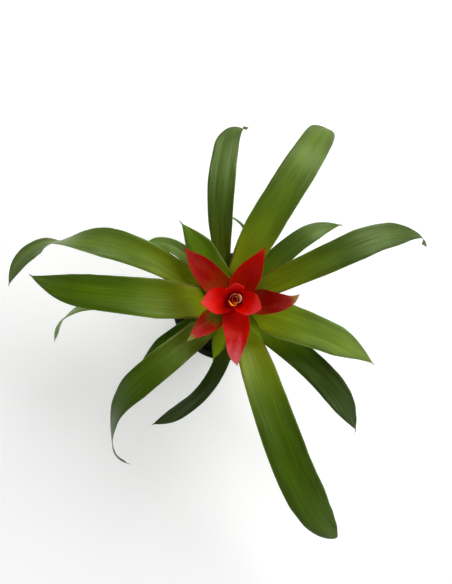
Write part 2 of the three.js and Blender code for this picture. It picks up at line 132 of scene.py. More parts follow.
# The two leaves on the flower stem. Gain, as for the leaves, is partly their own tone and partly
# painted light and shade
STEM_LEAVES = [
    dict(wrap=70, exit=149, path=[[252.5, 22, 160], [252, 40, 163], [251.5, 52.5, 158]],
         widths=[14, 15, 12], tip=20, age=0.05, glow=0.5, gain=1.6, hook=(2, 0, 0)),
    dict(wrap=70, exit=144, path=[[307, 18, 162], [308, 30, 166], [306, 42, 163]],
         widths=[10, 10, 7], tip=18, age=0.1, glow=0.6, gain=1.1, hook=(2, 0, 0)),
]

# How the leaf bases wrap the stem, one layer outside the other
STEM_RADIUS = 7
SCAPE_RADIUS = 4.5
SHEATH_GAP = 0.35
LAYER_PITCH = 1.35
SHEATH_FOOT = 80.3
SHEATH_LEAN = 0.25
INNER_EXIT_HEIGHT = 130
LAYER_DROP = 5.5
STEM_LEAF_FOOT = 134
SHOULDER_OUT = 8
SHOULDER_UP = 14
SHEATH_SHARES = (0, 0.4, 0.75, 1)
SHEATH_EASE = 14
OPENING_LENGTH = 45
# The channel that a leaf's cross-section makes from base to tip, each side of its middle
LEAF_CURL = (24, 16, 10, 4, -6)

# Bracts of the star and of the cup. Bright runs from crimson to scarlet, green is how much of
# the foot and middle is still green, tip_green how much of the tip, and the last setting how
# pink the outer half is: partly the bract's own paler colour and partly a painted pink sheen
# where the lamps catch it.
BRACTS = {
    "backLeft": dict(path=[[140, 3, 165], [141, 12, 171], [140.3, 31, 184], [137.3, 46, 189],
                     [135.5, 59.5, 186]], widths=[12, 22.5, 22, 17.5, 9], tip=26, bend=45,
                     bright=0.22, green=0.13, tip_green=0.05, pink_and_sheen=0.05),
    "backRight": dict(path=[[63, 3, 165], [63, 12, 172], [60, 28, 185], [60, 40, 189.5],
                      [60, 49, 190]], widths=[12, 24, 21.5, 15.5, 10], tip=26, bend=45,
                      bright=0.46, green=0.05, tip_green=0.04, pink_and_sheen=0.0),
    "right": dict(path=[[355, 3, 167], [354, 14, 172], [353.5, 30, 182], [356, 41, 185],
                  [359, 49, 184], [4.5, 54, 182]], widths=[11, 18, 22.5, 17.5, 10.5, 7], tip=16,
                  bend=45, bright=0.08, green=0.08, tip_green=0.6, pink_and_sheen=0.05),
    "front": dict(path=[[271, 3, 164], [274, 14, 171], [273, 30, 183], [269.5, 42, 182],
                  [271, 50, 176], [273.5, 55.5, 166]], widths=[11, 22.5, 23, 16.5, 12, 9],
                  tip=26, bend=45, bright=0.58, green=0.0, tip_green=0.0, pink_and_sheen=1.0),
    "frontLeft": dict(path=[[222, 3, 163], [221, 14, 170], [222, 32, 178], [221.6, 53.5, 173]],
                      widths=[10, 17, 19.5, 12.5, 7], tip=22, bend=45, bright=0.55, green=1.0,
                      tip_green=1.0, pink_and_sheen=0.3),
    "innerLeft": dict(path=[[190, 3, 176], [190, 8, 181], [189, 18, 193], [190, 30, 198]],
                      widths=[18, 22, 22, 16], tip=16, bend=75, bright=0.75, green=0.0,
                      tip_green=0.1, pink_and_sheen=0.12),
    "innerRight": dict(path=[[333, 3, 177], [333, 8, 182], [335, 13, 194], [334, 22, 199]],
                       widths=[17, 20, 20, 15], tip=12, bend=75, bright=1.0, green=0.0,
                       tip_green=0.0, pink_and_sheen=0.2),
    "hood": dict(path=[[100, 3, 178], [100, 5.5, 184], [100, 8, 194], [99, 10.5, 203]],
                 widths=[13, 16, 16, 12], tip=10, bend=70, bright=0.95, green=0.0,
                 tip_green=0.0, pink_and_sheen=0.1),
}
BRACT_CURL = (1, 0.65, 0.4, 0.2, -0.1)
# Small scales wrap the head between the bracts: direction, distance out, foot, top and width
HEAD_SCALES = [
    (30, 6.9, 165, 187.5, 15), (102, 7.5, 166, 186, 15), (174, 6.9, 165, 186.5, 15),
    (246, 7.5, 166, 187, 15), (318, 6.9, 165, 188, 15), (48, 4.6, 183, 190.5, 11),
]
# How far a scale's points lean out, in mm, and the share of its height that they stand at
SCALE_PATH = ((-0.4, 0), (0, 0.35), (0, 0.75), (-0.2, 1))
SCALE_WIDTHS = (1, 1, 1, 0.7)
SCALE_CURL = (1, 1, 1, 0.9, 0.6)
SCALE_TIP = 7
SCALE_BRIGHT = 0.6
# The flower stem and the head that carries the bracts, as [distance out, height]
HEAD_OUTLINE = [[0, 104.3], [4.2, 104.3], [4.5, 104.6], [4.5, 160], [5.4, 165], [6.2, 169],
                [6.5, 172], [6.5, 181], [6.3, 182.2], [5.5, 183], [0, 183]]
HEAD_REDDENS = 162
HEAD_SIDES = 40
# Unevenness and ripple in mm
BRACT_BUCKLE, BRACT_WAVE = 0.35, 0.3
SCALE_BUCKLE, SCALE_WAVE = 0.1, 0.2

# Florets stand in the cup beside the stem's axis. Petals: direction, distance out at the foot
# and at the top, height of the top, width, half angle that the petal is furled through, and
# shares of orange and of red.
FLORETS_AT = (-1.5, -1.4)
FLORETS_FOOT = 183.4
PETALS = [
    (8, 3.1, 5.4, 202.0, 7.6, 62, 0.15, 0.0),
    (115, 3.2, 4.0, 200.4, 8.2, 70, 0.5, 0.75),
    (238, 3.1, 6.4, 201.0, 8.0, 52, 1.0, 0.0),
    (280, 2.0, 4.2, 200.9, 4.6, 70, 1.0, 0.15),
    (40, 1.7, 2.3, 199.8, 5.2, 78, 0.3, 0.35),
    (165, 1.7, 2.0, 199.0, 5.4, 80, 0.5, 0.95),
    (310, 1.0, 1.2, 198.4, 3.4, 80, 0.5, 1.0),
]
# Where the lower points of a petal's path stand: above the foot, then as shares of its height
PETAL_LIFT = 0.3
PETAL_RISES = (0.32, 0.73)
PETAL_WIDTHS = (1, 1, 0.97, 0.83)
PETAL_CURL = (1, 1, 0.9, 0.6, 0.2)
PETAL_TIP = 5
PETAL_STEPS, PETAL_COLUMNS = 28, 14
PETAL_THICKNESS, PETAL_MARGIN = 0.6, 0.3
PETAL_BUCKLE, PETAL_WAVE = 0.1, 0.15
PLUG_OUTLINE = [[0, 183.4], [3.3, 183.4], [3.4, 184], [3.4, 191], [3.1, 193.2], [2.3, 194.6],
                [1.2, 195.4], [0, 195.7]]
PLUG_SIDES = 32

# Pot outline round its wall, as [distance out, height], and its drain holes
POT_OUTLINE = [
    [0, 0], [35.2, 0], [36.3, 0.3], [37.0, 1.0], [37.25, 1.8], [48.4, 80], [48.7, 80.3],
    [50.1, 81.0], [50.4, 81.4], [50.4, 87.4], [50.6, 87.6], [51.5, 87.7], [51.9, 88.0],
    [52.0, 88.5], [52.0, 89.3], [51.8, 89.7], [51.3, 90.0], [50.0, 90.0], [49.5, 89.8],
    [49.2, 89.3], [49.2, 81.9], [49.0, 81.5], [47.5, 80.8], [47.2, 80.5], [36.4, 3.0],
    [36.0, 2.0], [35.0, 1.4], [34.3, 1.2], [0, 1.2],
]
DRAIN_HOLES = 8
DRAIN_RING_RADIUS = 27
DRAIN_HOLE_RADIUS = 3.5
DRILL_FROM, DRILL_TO = -2, 3
DRILL_SIDES = 32

# Soil: inside the pot, with a plain hole for the stem
SOIL_TOP = 80
SOIL_FOOT = 1.5
SOIL_EDGE_DROP = 1.5
SOIL_EDGE_WIDTH = 8
SOIL_FOOT_RADIUS = 35.5
SOIL_TOP_RADIUS = 46.6
SOIL_FOOT_BEVEL = 1.5
STEM_HOLE_RADIUS = 7.3
STEM_HOLE_FOOT = 55.7
SOIL_SIDES = 120
SOIL_RINGS, SOIL_EDGE_RINGS = 22, 5
# Lumps of its surface: length, height and place in the noise. They sink more than they rise.
SOIL_LUMPS = ((5, 1.1, 3), (1.8, 0.6, 8))
SOIL_SINK = 0.5
SOIL_RISE = 0.2
SOIL_KEPT = 0.1

# Crumbs: the part of the soil's area that they lie on, how far they keep from its edge, the
# smallest half size, how strongly small ones outnumber large ones, how deep they sink, how far
# they are stretched, dented, spun and tilted, and how high they may reach over the soil
CRUMB_SEED = 7
CRUMB_AREA = (0.16, 0.99)
CRUMB_EDGE = 0.8
CRUMB_LEAST = 0.25
CRUMB_SIZES = (0.2, 1)
CRUMB_POWER = 2.2
CRUMB_SINK = 0.25
CRUMB_STRETCH = ((0.6, 1.6), (0.6, 1.1), (0.5, 0.9))
CRUMB_DENT = (0.75, 1.2)
CRUMB_SPIN = 6.28
CRUMB_TILT = 0.7
CRUMB_REACH = 1.6
CRUMB_CORNER = 0.62
CRUMB_BARK = (0, 0, 0.2, 0.5, 0.9)

# The photograph's camera, in millimetres and pixels
CAMERA_PLACE = (-47.8, -42.2, 726.9)
CAMERA_BACK = (-0.0733, -0.0870, 0.9935)
PICTURE_HEIGHT = 584
FOCAL_PIXELS = 664
SENSOR = 36

# The stage, in metres. Soft boxes: name, place, width, height and the setting of their power.
FLOOR_DROP = 0.2 * MM
SOFT_BOX_TARGET = (0, 0, 0.12)
SOFT_BOXES = (
    ("key_soft_box", (0.8, 0.95, 1.3), 1.6, 1.1, "key_light"),
    ("side_soft_box", (1.25, -0.25, 0.85), 1.2, 0.9, "side_light"),
    ("fill_soft_box", (-1.2, -0.9, 1.0), 1.5, 1.5, "fill_light"),
)
# The walls' light gives way to the ceiling's between these heights of the view
ROOM_RISE = (0.05, 0.85)


def linear(code):
    """An sRGB hex colour as Blender's linear red, green, blue and alpha."""
    parts = [int(code[i:i + 2], 16) / 255 for i in (1, 3, 5)]
    return tuple(c / 12.92 if c <= 0.04045 else ((c + 0.055) / 1.055) ** 2.4
                 for c in parts) + (1.0,)


def colour(name, description, code):
    """A colour setting."""
    return FloatVectorProperty(name=name, description=description, subtype="COLOR", size=4,
                               min=0, max=1, default=linear(code))


def length(name, description, millimetres, most=1.0):
    """A length setting."""
    return FloatProperty(name=name, description=description, subtype="DISTANCE", unit="LENGTH",
                         min=0, max=most, precision=4, default=millimetres * MM)


class GuzmaniaPotSettings(bpy.types.PropertyGroup):
    """Size and colour of the pot."""
    height: FloatProperty(name="Height", description="Height of the pot to its lip",
                          subtype="DISTANCE", unit="LENGTH", default=POT_HEIGHT)
    rim_radius: FloatProperty(name="Rim radius", description="Radius of the pot's lip",
                              subtype="DISTANCE", unit="LENGTH", default=POT_RADIUS)
    sides: IntProperty(name="Sides", description="Facets round the pot", default=128, min=24,
                       max=256)
    plastic: colour("Plastic", "Black moulded plastic", "#0c0c0d")
    dust: colour("Dust", "Dried peat that clings to the plastic", "#2c241d")


class GuzmaniaSoilSettings(bpy.types.PropertyGroup):
    """Make-up of the peat mix."""
    crumbs: IntProperty(name="Crumbs", description="Loose crumbs on the surface", default=900,
                        min=0, max=3000)
    crumb_size: length("Crumb size", "Largest crumb", 3.4)
    peat: colour("Peat", "Damp peat", "#1b110b")
    bark: colour("Bark", "Crumbs of bark and dry fibre", "#4a2f1c")


class GuzmaniaLeafSettings(bpy.types.PropertyGroup):
    """Form and colours of the leaves."""
    steps: IntProperty(name="Steps along", description="Cross-sections along a leaf", default=96,
                       min=24, max=160)
    columns: IntProperty(name="Steps across", description="Strips across a leaf", default=24,
                         min=8, max=40)
    thickness: length("Thickness", "Thickness of a leaf at its middle", 0.7)
    margin_thickness: length("Margin thickness", "Thickness of a leaf at its margins", 0.3)
    margin_wave: length("Margin wave", "How far the margins ripple", 0.7)
    margin_roll: length("Margin roll", "How far the outer tenth of the blade turns down", 0.6)
    buckle: length("Buckle", "How far the blade's surface is uneven", 0.8)
    young: colour("Young blade", "Newest leaves", "#6e8904")
    mature: colour("Mature blade", "Leaves in full growth", "#456001")
    old: colour("Old blade", "Oldest, outermost leaves", "#2a3d02")
    base: colour("Base", "Pale foot of a blade", "#8b9306")
    underside: colour("Underside", "Lower face of a leaf", "#7d9350")
    margin: colour("Margin", "Red-brown line along the foot of a margin", "#5e1c0c")


class GuzmaniaBloomSettings(bpy.types.PropertyGroup):
    """Form and colours of the bloom and its florets."""
    steps: IntProperty(name="Steps along", description="Cross-sections along a bract", default=44,
                       min=12, max=96)
    columns: IntProperty(name="Steps across", description="Strips across a bract", default=20,
                         min=8, max=32)
    thickness: length("Thickness", "Thickness of a bract at its middle", 0.8)
    margin_thickness: length("Margin thickness", "Thickness of a bract at its margins", 0.35)
    crimson: colour("Crimson", "Outer bracts", "#750200")
    scarlet: colour("Scarlet", "Inner bracts", "#e30c02")
    green: colour("Green", "Parts of a bract that are still green", "#6f7a14")
    # Laid partly as the bract's own paler colour, partly as a painted sheen
    pink: colour("Pink", "Paler outer half of a bract", "#f4686c")
    dry: colour("Dry tip", "Dried last millimetre of a bract", "#2a0d06")
    stalk: colour("Stalk", "Flower stem and green tips", "#8c9a4c")
    orange: colour("Orange", "Floret petals", "#f5861c")
    cream: colour("Cream", "Paler petal edges", "#ffc49a")


class GuzmaniaStageSettings(bpy.types.PropertyGroup):
    """Floor, lights and lens."""
    floor_size: length("Floor size", "Side of the square floor", 8000, most=50)
    floor: colour("Floor", "Pale floor", "#e9e9e9")
    floor_glow: FloatProperty(name="Floor glow", description="Light from under the floor",
                              default=0.42, min=0)
    key_light: FloatProperty(name="Key light", description="Soft box behind, to the right",
                             default=30, min=0, subtype="POWER", unit="POWER")
    side_light: FloatProperty(name="Side light", description="Soft box on the right",
                              default=4, min=0, subtype="POWER", unit="POWER")
    fill_light: FloatProperty(name="Fill light", description="Soft box in front, to the left",
                              default=5, min=0, subtype="POWER", unit="POWER")
    walls: FloatProperty(name="Wall light", description="Light from the walls of the room",
                         default=0.75, min=0)
    ceiling: FloatProperty(name="Ceiling light", description="Light from straight above",
                           default=0.08, min=0)


class GuzmaniaSettings(bpy.types.PropertyGroup):
    """All settings of the plant and its stage."""
    pot: PointerProperty(type=GuzmaniaPotSettings)
    soil: PointerProperty(type=GuzmaniaSoilSettings)
    leaf: PointerProperty(type=GuzmaniaLeafSettings)
    bloom: PointerProperty(type=GuzmaniaBloomSettings)
    stage: PointerProperty(type=GuzmaniaStageSettings)


# ---------------------------------------------------------------- materials

# Settings that many nodes share
COLOURS = {"data_type": "RGBA"}
SOFT = {"interpolation_type": "SMOOTHSTEP"}
TIMES = {"operation": "MULTIPLY"}
TIMES_PLUS = {"operation": "MULTIPLY_ADD"}
SCALED = {"operation": "SCALE"}
# Most of a noise pattern's values lie in this range
NOISE = {"From Min": 0.25, "From Max": 0.75}
# Sockets of the Mix node when it mixes colours
SHARE, FIRST, SECOND, MIXED = 0, 6, 7, 2


def put(tree, kind, settings=None, feeds=None):
    """Adds one node, gives it its settings, and feeds its sockets with links or values."""
    node = tree.nodes.new("ShaderNode" + kind)
    for name, value in (settings or {}).items():
        setattr(node, name, value)
    for socket, value in (feeds or {}).items():
        if isinstance(value, bpy.types.NodeSocket):
            tree.links.new(value, node.inputs[socket])
        else:
            node.inputs[socket].default_value = value
    return node.outputs


def new_material(name):
    """An empty material and its node tree."""
    made = bpy.data.materials.new(name)
    made.use_nodes = True
    made.node_tree.nodes.clear()
    return made, made.node_tree


def blade_reads(tree):
    """What a point of a blade holds: shares across, along and under, three tints, and mm."""
    share, tint, mm = [put(tree, "Attribute", {"attribute_name": "blade_" + name})[1]
                       for name in ("share", "tint", "mm")]
    share, tint = [put(tree, "SeparateXYZ", {}, {0: read}) for read in (share, tint)]
    return share, tint, mm


def waxy_leaf(look):
    """Leaf blade under a waxy cuticle, grown: soft broad gloss over fine lengthwise veins."""
    made, tree = new_material("waxy_leaf")
    (across, along, under), (age, glow, tone_and_light_gain), mm = blade_reads(tree)
    painted_sheen = put(tree, "Attribute", {"attribute_name": "blade_pale"})[2]
    # Vein bundles lie about 1 mm apart in the real leaf: their streaks are drawn at 2.4 mm so
    # that they show, the fine veins at 0.9 mm, and the mottles at 11 by 34 mm
    streak, fine, mottle = [
        put(tree, "TexNoise", {}, {
            "Vector": put(tree, "VectorMath", TIMES, {0: mm, 1: (1 / wide, 1 / long, 1)})[0],
            "Scale": 1.0, "Detail": detail})[0]
        for wide, long, detail in ((2.4, 75, 2.0), (0.9, 60, 1.0), (11, 34, 2.0))]
    # Age: young to mature to old
    maturing = put(tree, "MapRange", {}, {"Value": age, "From Max": 0.5})[0]
    ageing = put(tree, "MapRange", {}, {"Value": age, "From Min": 0.5})[0]
    # Margins of the outer half are deeper green than its middle
    edge = put(tree, "Math", {"operation": "ABSOLUTE"}, {0: across})[0]
    deep = put(tree, "MapRange", SOFT, {"Value": edge, "From Min": 0.25, "To Max": 0.55})[0]
    outer = put(tree, "MapRange", SOFT, {"Value": along, "From Min": 0.1, "From Max": 0.5})[0]
    deep = put(tree, "Math", TIMES, {0: deep, 1: outer})[0]
    # The pale base fades out along the veins
    ragged = put(tree, "Math", TIMES_PLUS, {0: streak, 1: 0.25, 2: along})[0]
    fading = put(tree, "MapRange", SOFT, {"Value": ragged, "From Min": 0.62, "From Max": 0.1})[0]
    pale = put(tree, "Math", TIMES, {0: fading, 1: glow})[0]
    # Painted sheen: a grey-green over the outer half of some leaves stands for the gloss that the
    # lamps give it
    sheen_share = put(tree, "MapRange", SOFT, {"Value": ragged, "From Min": 0.3, "From Max": 0.75})[0]
    sheen_share = put(tree, "Math", TIMES, {0: sheen_share, 1: painted_sheen})[0]
    tone = look.young
    for share, laid in ((maturing, look.mature), (ageing, look.old), (deep, look.old),
                        (pale, look.base), (sheen_share, look.underside)):
        tone = put(tree, "Mix", COLOURS, {SHARE: share, FIRST: tone, SECOND: laid})[MIXED]
    # Streaks and mottles change the brightness a little
    gains = [put(tree, "MapRange", {}, {**NOISE, "Value": pattern, "To Min": least,
                                        "To Max": most})[0]
             for pattern, least, most in ((streak, 0.86, 1.14), (mottle, 0.84, 1.16))]
    gain = put(tree, "Math", TIMES, {0: gains[0], 1: gains[1]})[0]
    # Each leaf's gain then paints it lighter or darker, partly for its own tone and partly as
    # painted light and shade
    gain = put(tree, "Math", TIMES, {0: gain, 1: tone_and_light_gain})[0]
    tone = put(tree, "VectorMath", SCALED, {0: tone, "Scale": gain})[0]
    # A thin painted highlight along the margins of the outer part, where they catch the lamps, and
    # near the base a worn red-brown line along the margins
    near = put(tree, "MapRange", SOFT, {"Value": along, "From Min": 0.32, "From Max": 0.12,
                                        "To Max": 0.85})[0]
    far = put(tree, "Math", {"operation": "SUBTRACT"}, {0: 1.0, 1: near})[0]
    rim_highlight = put(tree, "MapRange", SOFT, {"Value": edge, "From Min": 0.93, "From Max": 0.98,
                                       "To Max": 0.4})[0]
    rim_highlight = put(tree, "Math", TIMES, {0: rim_highlight, 1: far})[0]
    line = put(tree, "MapRange", SOFT, {"Value": edge, "From Min": 0.85, "From Max": 0.93})[0]
    worn = put(tree, "MapRange", {}, {"Value": fine, "From Min": 0.35, "From Max": 0.6,
                                      "To Min": 0.6})[0]
    for share in (near, worn):
        line = put(tree, "Math", TIMES, {0: line, 1: share})[0]
    # The last millimetres are dry, and the lower face is paler
    dry = put(tree, "MapRange", SOFT, {"Value": along, "From Min": 0.985, "To Max": 0.7})[0]
    below = put(tree, "Math", TIMES, {0: under, 1: 0.75})[0]
    for share, laid in ((rim_highlight, look.underside), (line, look.margin), (dry, look.margin),
                        (below, look.underside)):
        tone = put(tree, "Mix", COLOURS, {SHARE: share, FIRST: tone, SECOND: laid})[MIXED]
    rough = put(tree, "MapRange", {}, {**NOISE, "Value": streak, "To Min": 0.36,
                                       "To Max": 0.47})[0]
    gloss = put(tree, "MapRange", {}, {"Value": fine, "From Min": 0.3, "From Max": 0.7,
                                       "To Min": 0.2, "To Max": 0.8})[0]
    height = put(tree, "Math", TIMES_PLUS, {0: fine, 1: 0.5, 2: streak})[0]
    bump = put(tree, "Bump", {}, {"Strength": 0.5, "Distance": 0.00025, "Height": height})[0]
    surface = put(tree, "BsdfPrincipled", {}, {
        "Base Color": tone, "Roughness": rough, "Normal": bump, "IOR": 1.45,
        "Specular IOR Level": gloss, "Specular Tint": linear("#deffb6"),
        "Subsurface Weight": 0.15, "Subsurface Radius": (0.5, 1.0, 0.1),
        "Subsurface Scale": MM})[0]
    put(tree, "OutputMaterial", {}, {"Surface": surface})
    return made


def waxy_bract(look):
    """Bract, a leaf coloured to draw birds: glossier and thinner-skinned than the leaves."""
    made, tree = new_material("waxy_bract")
    (_, along, _), (bright, green, tip_green), mm = blade_reads(tree)
    pink_and_sheen = put(tree, "Attribute", {"attribute_name": "blade_pale"})[2]
    # Veins about 0.7 mm apart: drawn at 1.8 mm so that they show, over mottles of 6 by 18 mm
    streak, mottle = [
        put(tree, "TexNoise", {}, {
            "Vector": put(tree, "VectorMath", TIMES, {0: mm, 1: (1 / wide, 1 / long, 1)})[0],
            "Scale": 1.0, "Detail": detail})[0]
        for wide, long, detail in ((1.8, 40, 2.0), (6, 18, 3.0))]
    # The outer half pales to pink in streaks: partly the bract's own colour, partly a painted pink
    # sheen
    paler = put(tree, "Math", TIMES_PLUS, {0: mottle, 1: 0.5, 2: along})[0]
    paler = put(tree, "MapRange", SOFT, {"Value": paler, "From Min": 0.78, "From Max": 1.08})[0]
    paler = put(tree, "Math", TIMES, {0: paler, 1: pink_and_sheen})[0]
    # Green stays longest at the foot, in soft patches in the middle, and at some tips
    foot = put(tree, "MapRange", SOFT, {"Value": along, "From Min": 0.6, "From Max": 0.25,
                                        "To Max": 0.45})[0]
    patch = put(tree, "Math", {"operation": "ADD"}, {0: mottle, 1: foot})[0]
    patch = put(tree, "MapRange", SOFT, {"Value": patch, "From Min": 0.42, "From Max": 0.95})[0]
    patch = put(tree, "Math", TIMES, {0: patch, 1: green})[0]
    end = put(tree, "Math", TIMES_PLUS, {0: streak, 1: 0.12, 2: along})[0]
    end = put(tree, "MapRange", SOFT, {"Value": end, "From Min": 0.86})[0]
    end = put(tree, "Math", TIMES, {0: end, 1: tip_green})[0]
    # The very tip is dry
    dry = put(tree, "MapRange", SOFT, {"Value": along, "From Min": 0.965, "From Max": 0.995,
                                       "To Max": 0.8})[0]
    tone = look.crimson
    for share, laid in ((bright, look.scarlet), (paler, look.pink), (patch, look.green),
                        (end, look.stalk), (dry, look.dry)):
        tone = put(tree, "Mix", COLOURS, {SHARE: share, FIRST: tone, SECOND: laid})[MIXED]
    gain = put(tree, "MapRange", {}, {**NOISE, "Value": streak, "To Min": 0.82,
                                      "To Max": 1.04})[0]
    tone = put(tree, "VectorMath", SCALED, {0: tone, "Scale": gain})[0]
    # The flower stem is marked by a share along of -1
    stalk = put(tree, "Math", {"operation": "LESS_THAN"}, {0: along, 1: -0.5})[0]
    tone = put(tree, "Mix", COLOURS, {SHARE: stalk, FIRST: tone, SECOND: look.stalk})[MIXED]
    rough = put(tree, "MapRange", {}, {**NOISE, "Value": mottle, "To Min": 0.38,
                                       "To Max": 0.5})[0]
    bump = put(tree, "Bump", {}, {"Strength": 0.3, "Distance": 0.0002, "Height": streak})[0]
    surface = put(tree, "BsdfPrincipled", {}, {
        "Base Color": tone, "Roughness": rough, "Normal": bump, "IOR": 1.42,
        "Specular IOR Level": 0.25, "Specular Tint": linear("#ffb7a8"),
        "Subsurface Weight": 0.35, "Subsurface Radius": (1.0, 0.15, 0.08),
        "Subsurface Scale": 2 * MM})[0]
    put(tree, "OutputMaterial", {}, {"Surface": surface})
    return made


def floret_petal(look):
    """Floret petal: thin, moist and a little see-through, so smooth and soft in colour."""
    made, tree = new_material("floret_petal")
    (_, along, _), (orange, red, _), mm = blade_reads(tree)
    # Ribs about 0.8 mm apart
    drawn = put(tree, "VectorMath", TIMES, {0: mm, 1: (1 / 0.8, 1 / 8, 1)})[0]
    streak = put(tree, "TexNoise", {}, {"Vector": drawn, "Scale": 1.0, "Detail": 2.0})[0]
    # The lower part of each petal, and the whole plug, is laid crimson: partly the florets' own
    # red, partly painted shade deep in the cup
    low = put(tree, "MapRange", SOFT, {"Value": along, "From Min": 0.7, "From Max": 0.35})[0]
    tone = look.cream
    for share, laid in ((orange, look.orange), (red, look.scarlet), (low, look.crimson)):
        tone = put(tree, "Mix", COLOURS, {SHARE: share, FIRST: tone, SECOND: laid})[MIXED]
    gain = put(tree, "MapRange", {}, {"Value": streak, "To Min": 0.85, "To Max": 1.15})[0]
    tone = put(tree, "VectorMath", SCALED, {0: tone, "Scale": gain})[0]
    bump = put(tree, "Bump", {}, {"Strength": 0.4, "Distance": 0.0001, "Height": streak})[0]
    surface = put(tree, "BsdfPrincipled", {}, {
        "Base Color": tone, "Roughness": 0.42, "Normal": bump, "IOR": 1.38})[0]
    put(tree, "OutputMaterial", {}, {"Surface": surface})
    return made


def fleshy_stem(look):
    """Stem core: pale fleshy tissue with dry leaf scars round it."""
    made, tree = new_material("fleshy_stem")
    place = put(tree, "TexCoord")["Object"]
    # Scars about 1 mm high and 7 mm long
    rings = put(tree, "VectorMath", TIMES, {0: place, 1: (150, 150, 900)})[0]
    scar = put(tree, "TexNoise", {}, {"Vector": rings, "Scale": 1.0, "Detail": 3.0})[0]
    tone = put(tree, "Mix", COLOURS, {SHARE: scar, FIRST: look.base,
                                      SECOND: linear("#5b4a2a")})[MIXED]
    bump = put(tree, "Bump", {}, {"Strength": 0.6, "Distance": 0.0005, "Height": scar})[0]
    surface = put(tree, "BsdfPrincipled", {}, {
        "Base Color": tone, "Roughness": 0.6, "Normal": bump, "IOR": 1.4})[0]
    put(tree, "OutputMaterial", {}, {"Surface": surface})
    return made


def damp_peat(look):
    """Damp peat with bark: broken fibre, so matt, uneven and very dark."""
    made, tree = new_material("damp_peat")
    place = put(tree, "TexCoord")["Object"]
    # Fibres about 0.8 mm across, in clumps of about 6 mm
    grain = put(tree, "TexNoise", {}, {"Vector": place, "Scale": 1250.0, "Detail": 4.0,
                                       "Roughness": 0.7})[0]
    clump = put(tree, "TexNoise", {}, {"Vector": place, "Scale": 160.0, "Detail": 2.0})[0]
    bark = put(tree, "Attribute", {"attribute_name": "bark"})[2]
    mixed = put(tree, "Math", TIMES, {0: grain, 1: clump})[0]
    share = put(tree, "MapRange", {}, {"Value": mixed, "From Min": 0.15, "From Max": 0.5,
                                       "To Max": 0.5})[0]
    share = put(tree, "Math", {"operation": "MAXIMUM"}, {0: share, 1: bark})[0]
    tone = put(tree, "Mix", COLOURS, {SHARE: share, FIRST: look.peat, SECOND: look.bark})[MIXED]
    gain = put(tree, "MapRange", {}, {"Value": grain, "From Min": 0.3, "From Max": 0.7,
                                      "To Min": 0.6, "To Max": 1.3})[0]
    tone = put(tree, "VectorMath", SCALED, {0: tone, "Scale": gain})[0]
    bump = put(tree, "Bump", {}, {"Strength": 0.9, "Distance": 0.0008, "Height": grain})[0]
    surface = put(tree, "BsdfPrincipled", {}, {
        "Base Color": tone, "Roughness": 0.93, "Normal": bump, "IOR": 1.4})[0]
    put(tree, "OutputMaterial", {}, {"Surface": surface})
    return made


def moulded_polypropylene(look):
    """Moulded polypropylene, filled black: satin skin with fine scuffs and dried peat dust."""
    made, tree = new_material("moulded_polypropylene")
    place = put(tree, "TexCoord")["Object"]
    # The mould's spark grain is about 0.1 mm: drawn at 0.4 mm so that it shows
    grain = put(tree, "TexNoise", {}, {"Vector": place, "Scale": 2500.0, "Detail": 2.0})[0]
    # Dust lies in clouds of about 18 mm, and scuffs run round the wall, about 7 mm long
    cloud = put(tree, "TexNoise", {}, {"Vector": place, "Scale": 55.0, "Detail": 5.0,
                                       "Roughness": 0.65})[0]
    squeezed = put(tree, "VectorMath", TIMES, {0: place, 1: (1, 1, 8)})[0]
    scuff = put(tree, "TexNoise", {}, {"Vector": squeezed, "Scale": 140.0, "Detail": 4.0})[0]
    height = put(tree, "SeparateXYZ", {}, {0: place})[2]
    low = put(tree, "MapRange", SOFT, {"Value": height, "From Min": 0.03, "From Max": 0.0,
                                       "To Max": 0.35})[0]
    dusty = put(tree, "MapRange", SOFT, {"Value": cloud, "From Min": 0.5, "From Max": 0.8,
                                         "To Max": 0.5})[0]
    share = put(tree, "Math", {"operation": "MAXIMUM"}, {0: low, 1: dusty})[0]
    share = put(tree, "Math", TIMES, {0: share, 1: cloud})[0]
    tone = put(tree, "Mix", COLOURS, {SHARE: share, FIRST: look.plastic,
                                      SECOND: look.dust})[MIXED]
    rough = put(tree, "MapRange", {}, {"Value": scuff, "From Min": 0.35, "From Max": 0.7,
                                       "To Min": 0.38, "To Max": 0.58})[0]
    bump = put(tree, "Bump", {}, {"Strength": 0.25, "Distance": 0.0001, "Height": grain})[0]
    surface = put(tree, "BsdfPrincipled", {}, {
        "Base Color": tone, "Roughness": rough, "Normal": bump, "IOR": 1.49})[0]
    put(tree, "OutputMaterial", {}, {"Surface": surface})
    return made


def matt_paper(look):
    """Seamless background paper: matt, with hardly any grain."""
    made, tree = new_material("matt_paper")
    place = put(tree, "TexCoord")["Object"]
    # The pulp's grain is well under 1 mm: drawn at about 1 mm
    pulp = put(tree, "TexNoise", {}, {"Vector": place, "Scale": 900.0, "Detail": 2.0})[0]
    gain = put(tree, "MapRange", {}, {"Value": pulp, "To Min": 0.99, "To Max": 1.01})[0]
    tone = put(tree, "VectorMath", SCALED, {0: look.floor[:3], "Scale": gain})[0]
    surface = put(tree, "BsdfPrincipled", {}, {
        "Base Color": tone, "Roughness": 0.95, "Specular IOR Level": 0.2,
        "Emission Color": look.floor, "Emission Strength": look.floor_glow})[0]
    put(tree, "OutputMaterial", {}, {"Surface": surface})
    return made


# ---------------------------------------------------------------- shapes

def polar(point):
    """[direction, distance out, height] as x, y, z."""
    direction, out, up = point
    angle = math.radians(direction)
    return [out * math.cos(angle), out * math.sin(angle), up]


